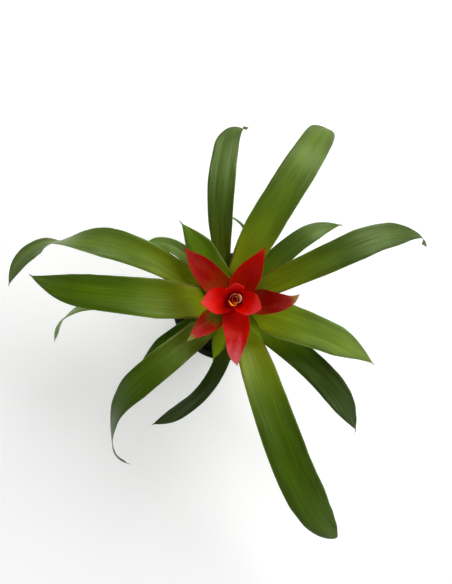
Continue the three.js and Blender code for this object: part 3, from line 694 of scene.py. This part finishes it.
def spline(control, places):
    """Points of a clamped cubic spline at places from 0 to 1."""
    control = np.asarray(control, float)
    count, degree = len(control), 3
    knots = np.clip(np.arange(count + degree + 1) - degree, 0, count - degree).astype(float)
    at = np.clip(np.asarray(places, float), 0, 1) * (count - degree)
    span = np.minimum(np.floor(at), count - degree - 1)
    weights = [((span == knots[i]) & (knots[i] < knots[i + 1])).astype(float)
               for i in range(len(knots) - 1)]
    for d in range(1, degree + 1):
        raised = []
        for i in range(len(weights) - 1):
            rise = knots[i + d] - knots[i]
            fall = knots[i + d + 1] - knots[i + 1]
            value = np.zeros_like(at)
            if rise:
                value += (at - knots[i]) / rise * weights[i]
            if fall:
                value += (knots[i + d + 1] - at) / fall * weights[i + 1]
            raised.append(value)
        weights = raised
    return np.stack(weights, 1) @ control


def unit(vectors):
    """Vectors of length 1."""
    return vectors / np.linalg.norm(vectors, axis=-1, keepdims=True)


def turn(vectors, axes, angles):
    """Vectors turned about unit axes at right angles to them."""
    angles = np.asarray(angles)[:, None]
    return vectors * np.cos(angles) + np.cross(axes, vectors) * np.sin(angles)


def along_values(values, shares):
    """Evenly spaced values, read straight between them."""
    return np.interp(shares, np.linspace(0, 1, len(values)), values)


def smoothstep(shares):
    """A soft start and end between 0 and 1."""
    shares = np.clip(shares, 0, 1)
    return shares * shares * (3 - 2 * shares)


# Paths are read at this many steps, and cross-sections crowd together towards the tip
CURVE_STEPS = 600
CROWDING = 1.35
# A blade that runs straight up or down faces outward
OUTWARD_GUIDE = 0.2
# The fine point at a tip: its steps, its widths at the start and end, and where it is widest
HOOK_STEPS = 8
HOOK_WIDTH = 1.1
HOOK_END = 0.3
FLARE_AT = (0.1, 0.4, 1)
LEAST_WIDTH = 0.6
LEAST_BEND = 0.01
# Across a blade: its outermost strips, where its margins start to turn down, and how much
# their ripple widens them
MARGIN_AT = 0.965
MARGIN_TURNS = 0.8
MARGIN_SPREAD = 0.022
# Lengths of the unevenness and of the ripple in mm, and how far apart the noise of the two
# margins is drawn
BUCKLE_LENGTH, BUCKLE_APART = 38, 1.1
RIPPLE_LENGTH, RIPPLE_APART = 13, 5
# Narrower than this, in mm, a blade is less uneven, and thinner
EVEN_BELOW = 12
THIN_BELOW = 4
# How far apart the patterns of two blades are drawn, in mm
PATTERNS_APART = 7.0
# Each group of blades has its own seeds, and the sixteen leaves have 1 to 16
STEM_LEAF_SEED = 40
BRACT_SEED = 60
PETAL_SEED = 80
SCALE_SEED = 100
# The painted light and shade on a leaf's outer half starts at this share of its length and is full
# after so much more
PAINTED_LIGHT_FROM = 0.15
PAINTED_LIGHT_OVER = 0.45


def stations_along(path, steps, shape, hook=(0, 0, 0), skew=0.0):
    """Cross-sections along a path: their middles, axes, widths and bends, and where they lie."""
    control = [polar(p) for p in path]
    fine = spline(control, np.linspace(0, 1, CURVE_STEPS + 1))
    walked_fine = np.concatenate([[0], np.cumsum(np.linalg.norm(np.diff(fine, axis=0), axis=1))])
    total = walked_fine[-1]
    walked = total * (1 - (1 - np.arange(steps + 1) / steps) ** CROWDING)
    middle = np.stack([np.interp(walked, walked_fine, fine[:, k]) for k in range(3)], 1)
    slopes = np.gradient(fine, walked_fine, axis=0)
    forward = unit(np.stack([np.interp(walked, walked_fine, slopes[:, k]) for k in range(3)], 1))
    width, narrowed, bend, roll, open_share = shape(walked, total, middle[:, 2])
    outward = np.array(polar([path[0][0], 1, 0]))
    level = forward * [1, 1, 0] + OUTWARD_GUIDE * outward
    across = unit(np.stack([-level[:, 1], level[:, 0], np.zeros(len(level))], 1))
    across = unit(across - forward * np.sum(across * forward, 1, keepdims=True))
    across = turn(across, forward, np.radians(roll))
    up = np.cross(forward, across)
    middle = middle + across * (skew * width * (1 - narrowed) / 2)[:, None]
    width = np.maximum(width * narrowed, HOOK_WIDTH if hook[0] else LEAST_WIDTH)
    made = dict(middle=middle, across=across, up=up, width=width, bend=np.radians(bend),
                walked=walked, open=open_share)
    return hooked(made, forward[-1], hook) if hook[0] else made


def hooked(made, forward, hook):
    """The same cross-sections, with the tip drawn out into a fine point that turns."""
    reach, down, left = hook[:3]
    flare = hook[3] if len(hook) > 3 else 0
    place = made["middle"][-1]
    across, up = made["across"][-1], made["up"][-1]
    rows = {key: [] for key in made}
    for i in range(1, HOOK_STEPS + 1):
        sideways, downwards = math.radians(left / HOOK_STEPS), math.radians(down / HOOK_STEPS)
        forward, across = (forward * math.cos(sideways) + across * math.sin(sideways),
                           across * math.cos(sideways) - forward * math.sin(sideways))
        forward, up = (forward * math.cos(downwards) - up * math.sin(downwards),
                       up * math.cos(downwards) + forward * math.sin(downwards))
        place = place + forward * reach / HOOK_STEPS
        share = i / HOOK_STEPS
        rows["middle"].append(place)
        rows["across"].append(across)
        rows["up"].append(up)
        rows["width"].append(made["width"][-1] * (1 - share) + HOOK_END * share
                             + flare * float(np.interp(share, FLARE_AT, (0, 1, 0))))
        rows["bend"].append(made["bend"][-1])
        rows["walked"].append(made["walked"][-1] + reach * share)
        rows["open"].append(made["open"][-1])
    return {key: np.concatenate([made[key], np.array(rows[key])]) for key in made}


def tip_share(remaining, tip, blunt=0):
    """How much of its full width a blade keeps where this length remains to its tip."""
    gone = np.clip(1 - remaining / tip, 0, 1)
    return (1 - gone ** blunt) ** (1 / blunt) if blunt else 1 - gone * gone


class Piece:
    """Gathers shells into one object, with the blade attributes that its material reads."""

    def __init__(self):
        self.points, self.faces = [], []
        self.share, self.mm, self.tint, self.pale = [], [], [], []
        self.count = 0

    def add(self, points, faces, share, mm, tint, pale=0.0):
        """Adds one shell: its points, its faces and its attributes for each point."""
        self.points.append(points)
        self.faces.extend([[v + self.count for v in face] for face in faces])
        self.share.append(share)
        self.mm.append(mm)
        self.tint.append(np.tile(tint, (len(points), 1)))
        self.pale.append(np.full(len(points), pale))
        self.count += len(points)

    def blade(self, made, columns, thickness, margin_thickness, tint, seed, buckle=0.0, wave=0.0,
              pale=0.0, roll=0.0):
        """Adds a thin leaf-like shell through its cross-sections."""
        even = np.linspace(-1, 1, columns + 1)
        places = np.concatenate([[-1, -MARGIN_AT], even[1:-1], [MARGIN_AT, 1]])
        rows, row = len(made["width"]), len(places)
        half = made["bend"][:, None]
        half = np.where(np.abs(half) < LEAST_BEND, LEAST_BEND, half)
        radius = made["width"][:, None] / 2 / half
        angle = half * places
        across, up = made["across"][:, None, :], made["up"][:, None, :]
        sine, cosine = np.sin(angle)[..., None], np.cos(angle)[..., None]
        normal = up * cosine - across * sine
        walked = made["walked"]
        free = (made["open"] * np.minimum(made["width"] / EVEN_BELOW, 1))[:, None]
        # The surface is a little uneven, and the margins ripple
        uneven = np.array([[noise.noise(Vector((w / BUCKLE_LENGTH, s * BUCKLE_APART, seed)))
                            for s in places] for w in walked])
        ripple = np.array([[noise.noise(Vector((w / RIPPLE_LENGTH,
                                                math.copysign(RIPPLE_APART, s), seed)))
                            for s in places] for w in walked])
        turning = np.clip((np.abs(places) - MARGIN_TURNS) / (1 - MARGIN_TURNS), 0, 1)
        lift = free * (buckle * uneven + wave * ripple * places ** 4) - roll * free * turning ** 2
        spread = 1 + (made["open"] * MARGIN_SPREAD)[:, None] * ripple
        upper = (made["middle"][:, None, :]
                 + across * (radius * spread)[..., None] * sine
                 + up * radius[..., None] * (1 - cosine)
                 + normal * lift[..., None])
        profile = margin_thickness + (thickness - margin_thickness) * (1 - places ** 4)
        depth = profile[None, :] * np.minimum(made["width"] / THIN_BELOW, 1)[:, None]
        lower = upper - normal * depth[..., None]
        points = np.concatenate([upper.reshape(-1, 3), lower.reshape(-1, 3)])
        below = rows * row
        faces = []
        for i in range(rows - 1):
            here, following = i * row, (i + 1) * row
            for j in range(row - 1):
                faces.append([here + j, following + j, following + j + 1, here + j + 1])
                faces.append([below + here + j, below + here + j + 1,
                              below + following + j + 1, below + following + j])
            end = row - 1
            faces.append([here, below + here, below + following, following])
            faces.append([here + end, following + end, below + following + end,
                          below + here + end])
        last = (rows - 1) * row
        for j in range(row - 1):
            faces.append([j, j + 1, below + j + 1, below + j])
            faces.append([last + j, below + last + j, below + last + j + 1, last + j + 1])
        share_along = np.clip((walked - made["start"]) / (walked[-1] - made["start"]), 0, 1)
        grid_across = np.tile(places, (rows, 1))
        grid_along = np.tile(share_along[:, None], (1, row))
        millimetres = np.stack([grid_across * made["width"][:, None] / 2,
                                np.tile(walked[:, None], (1, row)),
                                np.full((rows, row), seed * PATTERNS_APART)],
                               -1).reshape(-1, 3)
        share = np.concatenate([
            np.stack([grid_across, grid_along, np.full((rows, row), side)], -1).reshape(-1, 3)
            for side in (0.0, 1.0)])
        self.add(points, faces, share, np.concatenate([millimetres, millimetres]), tint, pale)

    def turned(self, outline, sides, centre=(0, 0), share=(0, 0, 0)):
        """Adds a turned shell. Outline points on the axis become one point each."""
        points, rings = [], []
        for out, up in outline:
            rings.append(len(points))
            count = 1 if out == 0 else sides
            for k in range(count):
                angle = 2 * math.pi * k / sides
                points.append([centre[0] + out * math.cos(angle),
                               centre[1] + out * math.sin(angle), up])
        faces = []
        for i in range(len(outline) - 1):
            a, b = rings[i], rings[i + 1]
            for k in range(sides):
                following = (k + 1) % sides
                if outline[i][0] == 0:
                    faces.append([a, b + following, b + k])
                elif outline[i + 1][0] == 0:
                    faces.append([a + k, a + following, b])
                else:
                    faces.append([a + k, a + following, b + following, b + k])
        points = np.array(points)
        self.add(points, faces, np.tile(share, (len(points), 1)), points.copy(), (0, 0, 0))

    def make(self, name, material, smooth=40):
        """Turns the gathered shells into one object that rides on the frame."""
        mesh = bpy.data.meshes.new(name)
        mesh.from_pydata((np.concatenate(self.points) * MM).tolist(), [], self.faces)
        for key, rows in (("blade_share", self.share), ("blade_mm", self.mm),
                          ("blade_tint", self.tint)):
            data = mesh.attributes.new(key, "FLOAT_VECTOR", "POINT").data
            data.foreach_set("vector", np.concatenate(rows).astype(np.float32).ravel())
        # The pale share paints sheen: grey-green on leaves, and in part the pink of bracts
        mesh.attributes.new("blade_pale", "FLOAT", "POINT").data.foreach_set(
            "value", np.concatenate(self.pale).astype(np.float32))
        mesh.materials.append(material)
        mesh.shade_smooth()
        mesh.set_sharp_from_angle(angle=math.radians(smooth))
        mesh.validate()
        made = bpy.data.objects.new(name, mesh)
        bpy.context.scene.collection.objects.link(made)
        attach(made, "root")
        return made


def leaf_stations(leaf, radius, foot, leaf_exit, lean, steps):
    """Cross-sections of a leaf: its base wraps the stem, then it opens into an arching blade."""
    def around(up):
        return radius + lean * (up - foot)

    direction = leaf["path"][0][0]
    heights = [foot + (leaf_exit - foot) * share for share in SHEATH_SHARES]
    sheath = [[direction, around(up), up] for up in heights]
    shoulder = [direction, around(leaf_exit) + SHOULDER_OUT, leaf_exit + SHOULDER_UP]
    start = leaf_exit - foot

    def shape(walked, total, up):
        blade = (walked - start) / (total - start)
        opened = smoothstep((walked - start + SHEATH_EASE) / OPENING_LENGTH)
        wrapped = 2 * around(up) * math.radians(leaf["wrap"])
        width = wrapped * (1 - opened) + along_values(leaf["widths"], blade) * opened
        bend = leaf["wrap"] * (1 - opened) + along_values(LEAF_CURL, blade) * opened
        roll = opened * along_values(leaf.get("roll", (0, 0)), blade)
        narrowed = tip_share(total - walked, leaf["tip"], leaf.get("blunt", 0))
        return width, narrowed, bend, roll, opened

    made = stations_along(sheath + [shoulder] + leaf["path"], steps, shape, leaf["hook"],
                          leaf.get("skew", 0))
    made["start"] = start
    return made


def bract_stations(path, widths, tip, bend, curl, steps):
    """Cross-sections of a bract or petal."""
    def shape(walked, total, _):
        share = walked / total
        narrowed = tip_share(total - walked, tip)
        return (along_values(widths, share), narrowed, bend * along_values(curl, share),
                np.zeros_like(walked), share)

    made = stations_along(path, steps, shape)
    made["start"] = 0
    return made


# ---------------------------------------------------------------- operators

class GUZMANIA_OT_pot(bpy.types.Operator):
    """Turns the thin moulded pot and cuts its drain holes"""
    bl_idname = "guzmania.pot"
    bl_label = "Build the pot"

    def execute(self, context):
        look = context.scene.guzmania.pot
        wide = look.rim_radius / POT_RADIUS
        high = look.height / POT_HEIGHT
        outline = [[out * wide, up * high] for out, up in POT_OUTLINE]
        piece = Piece()
        piece.turned(outline, look.sides)
        pot = piece.make("pot_shell", moulded_polypropylene(look), smooth=35)
        drills = Piece()
        for i in range(DRAIN_HOLES):
            x, y, _ = polar([360 * i / DRAIN_HOLES, DRAIN_RING_RADIUS, 0])
            drills.turned([[0, DRILL_FROM], [DRAIN_HOLE_RADIUS, DRILL_FROM],
                           [DRAIN_HOLE_RADIUS, DRILL_TO], [0, DRILL_TO]], DRILL_SIDES, (x, y))
        cutter = drills.make("drill", pot.data.materials[0])
        cut = pot.modifiers.new("drain_holes", "BOOLEAN")
        cut.operation = "DIFFERENCE"
        cut.object = cutter
        depsgraph = context.evaluated_depsgraph_get()
        drilled = bpy.data.meshes.new_from_object(pot.evaluated_get(depsgraph))
        pot.modifiers.clear()
        pot.data = drilled
        bpy.data.objects.remove(cutter)
        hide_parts("pot")
        return {"FINISHED"}


class GUZMANIA_OT_soil(bpy.types.Operator):
    """Fills the pot with peat, with loose crumbs on its surface"""
    bl_idname = "guzmania.soil"
    bl_label = "Fill the soil"

    def execute(self, context):
        look = context.scene.guzmania.soil
        material = damp_peat(look)
        piece = Piece()
        flat = SOIL_TOP_RADIUS - SOIL_EDGE_WIDTH
        top = [[STEM_HOLE_RADIUS + (flat - STEM_HOLE_RADIUS) * k / SOIL_RINGS, SOIL_TOP]
               for k in range(SOIL_RINGS + 1)]
        edge = [[flat + SOIL_EDGE_WIDTH * k / SOIL_EDGE_RINGS,
                 SOIL_TOP - SOIL_EDGE_DROP * k / SOIL_EDGE_RINGS]
                for k in range(1, SOIL_EDGE_RINGS + 1)]
        outline = [[0, STEM_HOLE_FOOT], [STEM_HOLE_RADIUS, STEM_HOLE_FOOT]] + top + edge
        outline += [[SOIL_FOOT_RADIUS, SOIL_FOOT + SOIL_FOOT_BEVEL],
                    [SOIL_FOOT_RADIUS - SOIL_FOOT_BEVEL, SOIL_FOOT], [0, SOIL_FOOT]]
        piece.turned(outline[::-1], SOIL_SIDES)
        # The surface is lumpy, but for the rims that meet the pot and the stem
        inner, outer = STEM_HOLE_RADIUS + SOIL_KEPT, SOIL_TOP_RADIUS - SOIL_KEPT
        lowest = SOIL_TOP - SOIL_EDGE_DROP - SOIL_KEPT
        for point in piece.points[0]:
            x, y, z = point
            if z > lowest and inner < math.hypot(x, y) < outer:
                lump = sum(high * noise.noise(Vector((x / long, y / long, depth)))
                           for long, high, depth in SOIL_LUMPS)
                point[2] += min(lump - SOIL_SINK, SOIL_RISE)
        soil = piece.make("soil_fill", material, smooth=60)
        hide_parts("soil")
        draw = random.Random(CRUMB_SEED)
        crumbs = Piece()
        bark = []
        corners, sides = crumb_shape()
        for _ in range(look.crumbs):
            out = math.sqrt(draw.uniform(*CRUMB_AREA)) * (SOIL_TOP_RADIUS - CRUMB_EDGE)
            direction = draw.uniform(0, 360)
            size = (look.crumb_size / MM / 2 * draw.uniform(*CRUMB_SIZES) ** CRUMB_POWER
                    + CRUMB_LEAST)
            drop = max(0, out - flat) / SOIL_EDGE_WIDTH * SOIL_EDGE_DROP
            x, y, z = polar([direction, out, SOIL_TOP - drop - size * CRUMB_SINK])
            stretch = [draw.uniform(*limits) for limits in CRUMB_STRETCH]
            dents = np.array([[draw.uniform(*CRUMB_DENT)] for _ in corners])
            spin = Matrix.Rotation(draw.uniform(0, CRUMB_SPIN), 3, "Z") @ Matrix.Rotation(
                draw.uniform(-CRUMB_TILT, CRUMB_TILT), 3, "X")
            shape = corners * dents * stretch * size @ np.array(spin).T
            shape[:, 2] = np.minimum(shape[:, 2] + z, SOIL_TOP + CRUMB_REACH) - z
            crumbs.add(shape + [x, y, z], sides, np.zeros_like(shape), shape, (0, 0, 0))
            bark += [draw.choice(CRUMB_BARK)] * len(corners)
        loose = crumbs.make("soil_crumbs", material, smooth=50)
        loose.data.attributes.new("bark", "FLOAT", "POINT").data.foreach_set("value", bark)
        return {"FINISHED"}


def crumb_shape():
    """A small rounded lump: the corners of a cube and the middles of its faces."""
    corners = [[x, y, z] for x in (-1, 1) for y in (-1, 1) for z in (-1, 1)]
    corners = [[c * CRUMB_CORNER for c in p] for p in corners]
    corners += [[-1, 0, 0], [1, 0, 0], [0, -1, 0], [0, 1, 0], [0, 0, -1], [0, 0, 1]]
    rings = {8: (0, 1, 3, 2), 9: (4, 6, 7, 5), 10: (0, 4, 5, 1), 11: (2, 3, 7, 6),
             12: (0, 2, 6, 4), 13: (1, 5, 7, 3)}
    faces = [[ring[k], ring[(k + 1) % 4], tip] for tip, ring in rings.items() for k in range(4)]
    return np.array(corners), faces


class GUZMANIA_OT_stem(bpy.types.Operator):
    """Gives the stem core its finish"""
    bl_idname = "guzmania.stem"
    bl_label = "Finish the stem"

    def execute(self, context):
        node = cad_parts["stem"]
        material = fleshy_stem(context.scene.guzmania.leaf)
        if not node.material_slots:
            raise RuntimeError("the stem has no material slot")
        for slot in node.material_slots:
            slot.material = material
        return {"FINISHED"}


class GUZMANIA_OT_leaves(bpy.types.Operator):
    """Grows the rosette's sixteen leaves, each from its own sheath"""
    bl_idname = "guzmania.leaves"
    bl_label = "Grow the leaves"

    def execute(self, context):
        look = context.scene.guzmania.leaf
        material = waxy_leaf(look)
        for number, leaf in enumerate(LEAVES, 1):
            layer = leaf["layer"]
            made = leaf_stations(leaf, STEM_RADIUS + SHEATH_GAP + layer * LAYER_PITCH,
                                 SHEATH_FOOT, INNER_EXIT_HEIGHT - layer * LAYER_DROP,
                                 SHEATH_LEAN, look.steps)
            piece = Piece()
            piece.blade(made, look.columns, look.thickness / MM, look.margin_thickness / MM,
                        (leaf["age"], leaf["glow"], leaf["gain"]), number, look.buckle / MM,
                        look.margin_wave / MM, leaf.get("painted_sheen", 0), look.margin_roll / MM)
            # Painted light and shade: the outer half of each leaf is made lighter or darker by its
            # second factor
            outer_light_share = smoothstep((piece.share[0][:, 1] - PAINTED_LIGHT_FROM) / PAINTED_LIGHT_OVER)
            piece.tint[0][:, 2] *= 1 + (leaf.get("outer_painted_light", 1) - 1) * outer_light_share
            blade = piece.make(f"leaf_blade_{number:02d}", material)
            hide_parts(f"leaf_{number:02d}")
        return {"FINISHED"}


class GUZMANIA_OT_stem_leaves(bpy.types.Operator):
    """Grows the two small leaves that clasp the flower stem"""
    bl_idname = "guzmania.stem_leaves"
    bl_label = "Grow the stem leaves"

    def execute(self, context):
        look = context.scene.guzmania.leaf
        material = bpy.data.materials["waxy_leaf"]
        for i, leaf in enumerate(STEM_LEAVES):
            made = leaf_stations(leaf, SCAPE_RADIUS + SHEATH_GAP + i * LAYER_PITCH,
                                 STEM_LEAF_FOOT, leaf["exit"], 0, look.steps // 2)
            piece = Piece()
            piece.blade(made, look.columns, look.thickness / MM, look.margin_thickness / MM,
                        (leaf["age"], leaf["glow"], leaf["gain"]), STEM_LEAF_SEED + i,
                        look.buckle / MM / 2, look.margin_wave / MM / 2)
            blade = piece.make(f"stem_leaf_blade_{i + 1}", material)
            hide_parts(f"stem_leaf_{i + 1}")
        return {"FINISHED"}


class GUZMANIA_OT_bloom(bpy.types.Operator):
    """Grows the flower stem, the star of bracts and the cup inside it"""
    bl_idname = "guzmania.bloom"
    bl_label = "Grow the bloom"

    def execute(self, context):
        look = context.scene.guzmania.bloom
        piece = Piece()
        piece.turned(HEAD_OUTLINE, HEAD_SIDES, share=(0, -1, 0))
        piece.share[0][piece.points[0][:, 2] > HEAD_REDDENS, 1] = 0
        for number, bract in enumerate(BRACTS.values()):
            made = bract_stations(bract["path"], bract["widths"], bract["tip"], bract["bend"],
                                  BRACT_CURL, look.steps)
            piece.blade(made, look.columns, look.thickness / MM, look.margin_thickness / MM,
                        (bract["bright"], bract["green"], bract["tip_green"]),
                        BRACT_SEED + number, BRACT_BUCKLE, BRACT_WAVE, bract["pink_and_sheen"])
        for number, (direction, out, foot, top, wide) in enumerate(HEAD_SCALES):
            path = [[direction, out + lean, foot + (top - foot) * share]
                    for lean, share in SCALE_PATH]
            made = bract_stations(path, [wide * share for share in SCALE_WIDTHS], SCALE_TIP,
                                  math.degrees(wide / 2 / out), SCALE_CURL, look.steps // 2)
            piece.blade(made, look.columns // 2, look.thickness / MM,
                        look.margin_thickness / MM, (SCALE_BRIGHT, 0, 0), SCALE_SEED + number,
                        SCALE_BUCKLE, SCALE_WAVE)
        bloom = piece.make("bloom_bracts", waxy_bract(look))
        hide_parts("bloom")
        return {"FINISHED"}


class GUZMANIA_OT_florets(bpy.types.Operator):
    """Grows the furled florets inside the cup"""
    bl_idname = "guzmania.florets"
    bl_label = "Grow the florets"

    def execute(self, context):
        look = context.scene.guzmania.bloom
        piece = Piece()
        piece.turned(PLUG_OUTLINE, PLUG_SIDES)
        for number, petal in enumerate(PETALS):
            direction, foot_out, top_out, top, wide, bend, orange, red = petal
            lifts = [PETAL_LIFT] + [(top - FLORETS_FOOT) * share for share in PETAL_RISES]
            path = [[direction, foot_out, FLORETS_FOOT + lift] for lift in lifts]
            made = bract_stations(path + [[direction, top_out, top]],
                                  [wide * share for share in PETAL_WIDTHS], PETAL_TIP, bend,
                                  PETAL_CURL, PETAL_STEPS)
            piece.blade(made, PETAL_COLUMNS, PETAL_THICKNESS, PETAL_MARGIN, (orange, red, 0),
                        PETAL_SEED + number, PETAL_BUCKLE, PETAL_WAVE)
        for points in piece.points:
            points[:, :2] += FLORETS_AT
        florets = piece.make("floret_petals", floret_petal(look))
        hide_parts("florets")
        return {"FINISHED"}


class GUZMANIA_OT_stage(bpy.types.Operator):
    """Sets the pale floor, the soft lights and the camera"""
    bl_idname = "guzmania.stage"
    bl_label = "Set the stage"

    def execute(self, context):
        look = context.scene.guzmania.stage
        scene = context.scene
        side = look.floor_size / 2
        mesh = bpy.data.meshes.new("floor")
        mesh.from_pydata([(x, y, -FLOOR_DROP) for x, y in ((-side, -side), (side, -side),
                                                           (side, side), (-side, side))],
                         [], [(0, 1, 2, 3)])
        mesh.materials.append(matt_paper(look))
        floor = bpy.data.objects.new("floor", mesh)
        scene.collection.objects.link(floor)

        world = bpy.data.worlds.new("soft_room")
        world.use_nodes = True
        tree = world.node_tree
        tree.nodes.clear()
        towards = put(tree, "TexCoord")["Generated"]
        rise = put(tree, "SeparateXYZ", {}, {0: towards})[2]
        strength = put(tree, "MapRange", SOFT, {
            "Value": rise, "From Min": ROOM_RISE[0], "From Max": ROOM_RISE[1],
            "To Min": look.walls, "To Max": look.ceiling})[0]
        light = put(tree, "Background", {}, {"Color": linear("#f6f6f4"), "Strength": strength})[0]
        put(tree, "OutputWorld", {}, {"Surface": light})
        scene.world = world
        for name, place, wide, high, power in SOFT_BOXES:
            add_soft_box(name, place, wide, high, getattr(look, power))

        lens = bpy.data.cameras.new("photograph")
        lens.sensor_fit = "VERTICAL"
        lens.sensor_height = SENSOR
        lens.lens = FOCAL_PIXELS * SENSOR / PICTURE_HEIGHT
        camera = bpy.data.objects.new("photograph", lens)
        backward = Vector(CAMERA_BACK).normalized()
        right = (-backward).cross(Vector((0, 1, 0))).normalized()
        upward = backward.cross(right)
        turned = Matrix((right, upward, backward)).transposed().to_4x4()
        camera.matrix_world = Matrix.Translation(Vector(CAMERA_PLACE) * MM) @ turned
        scene.collection.objects.link(camera)
        scene.camera = camera
        scene.view_settings.view_transform = "Standard"
        return {"FINISHED"}


def add_soft_box(name, place, wide, high, power):
    """A soft area light that faces the plant."""
    light = bpy.data.lights.new(name, "AREA")
    light.shape = "RECTANGLE"
    light.size, light.size_y, light.energy = wide, high, power
    box = bpy.data.objects.new(name, light)
    facing = (Vector(place) - Vector(SOFT_BOX_TARGET)).to_track_quat("Z", "Y")
    box.matrix_world = Matrix.Translation(place) @ facing.to_matrix().to_4x4()
    bpy.context.scene.collection.objects.link(box)


STEPS = (GUZMANIA_OT_stage, GUZMANIA_OT_pot, GUZMANIA_OT_soil, GUZMANIA_OT_stem,
         GUZMANIA_OT_leaves, GUZMANIA_OT_stem_leaves, GUZMANIA_OT_bloom, GUZMANIA_OT_florets)


class GUZMANIA_PT_panel(bpy.types.Panel):
    """Lists the building steps and their settings"""
    bl_idname = "GUZMANIA_PT_panel"
    bl_label = "Potted guzmania"
    bl_space_type = "VIEW_3D"
    bl_region_type = "UI"
    bl_category = "Guzmania"

    def draw(self, context):
        settings = context.scene.guzmania
        for step in STEPS:
            self.layout.operator(step.bl_idname)
        for part in ("pot", "soil", "leaf", "bloom", "stage"):
            box = self.layout.box()
            group = getattr(settings, part)
            for name in group.__annotations__:
                box.prop(group, name)


CLASSES = (GuzmaniaPotSettings, GuzmaniaSoilSettings, GuzmaniaLeafSettings,
           GuzmaniaBloomSettings, GuzmaniaStageSettings, GuzmaniaSettings) + STEPS + (
               GUZMANIA_PT_panel,)


def register():
    """Registers the classes and the scene's settings."""
    for cls in CLASSES:
        bpy.utils.register_class(cls)
    bpy.types.Scene.guzmania = PointerProperty(type=GuzmaniaSettings)


def unregister():
    """Takes the settings and the classes away again."""
    del bpy.types.Scene.guzmania
    for cls in reversed(CLASSES):
        bpy.utils.unregister_class(cls)


def main():
    """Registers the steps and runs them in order."""
    register()
    for step in STEPS:
        getattr(bpy.ops.guzmania, step.bl_idname.split(".")[1])()


if __name__ == "__main__":
    main()
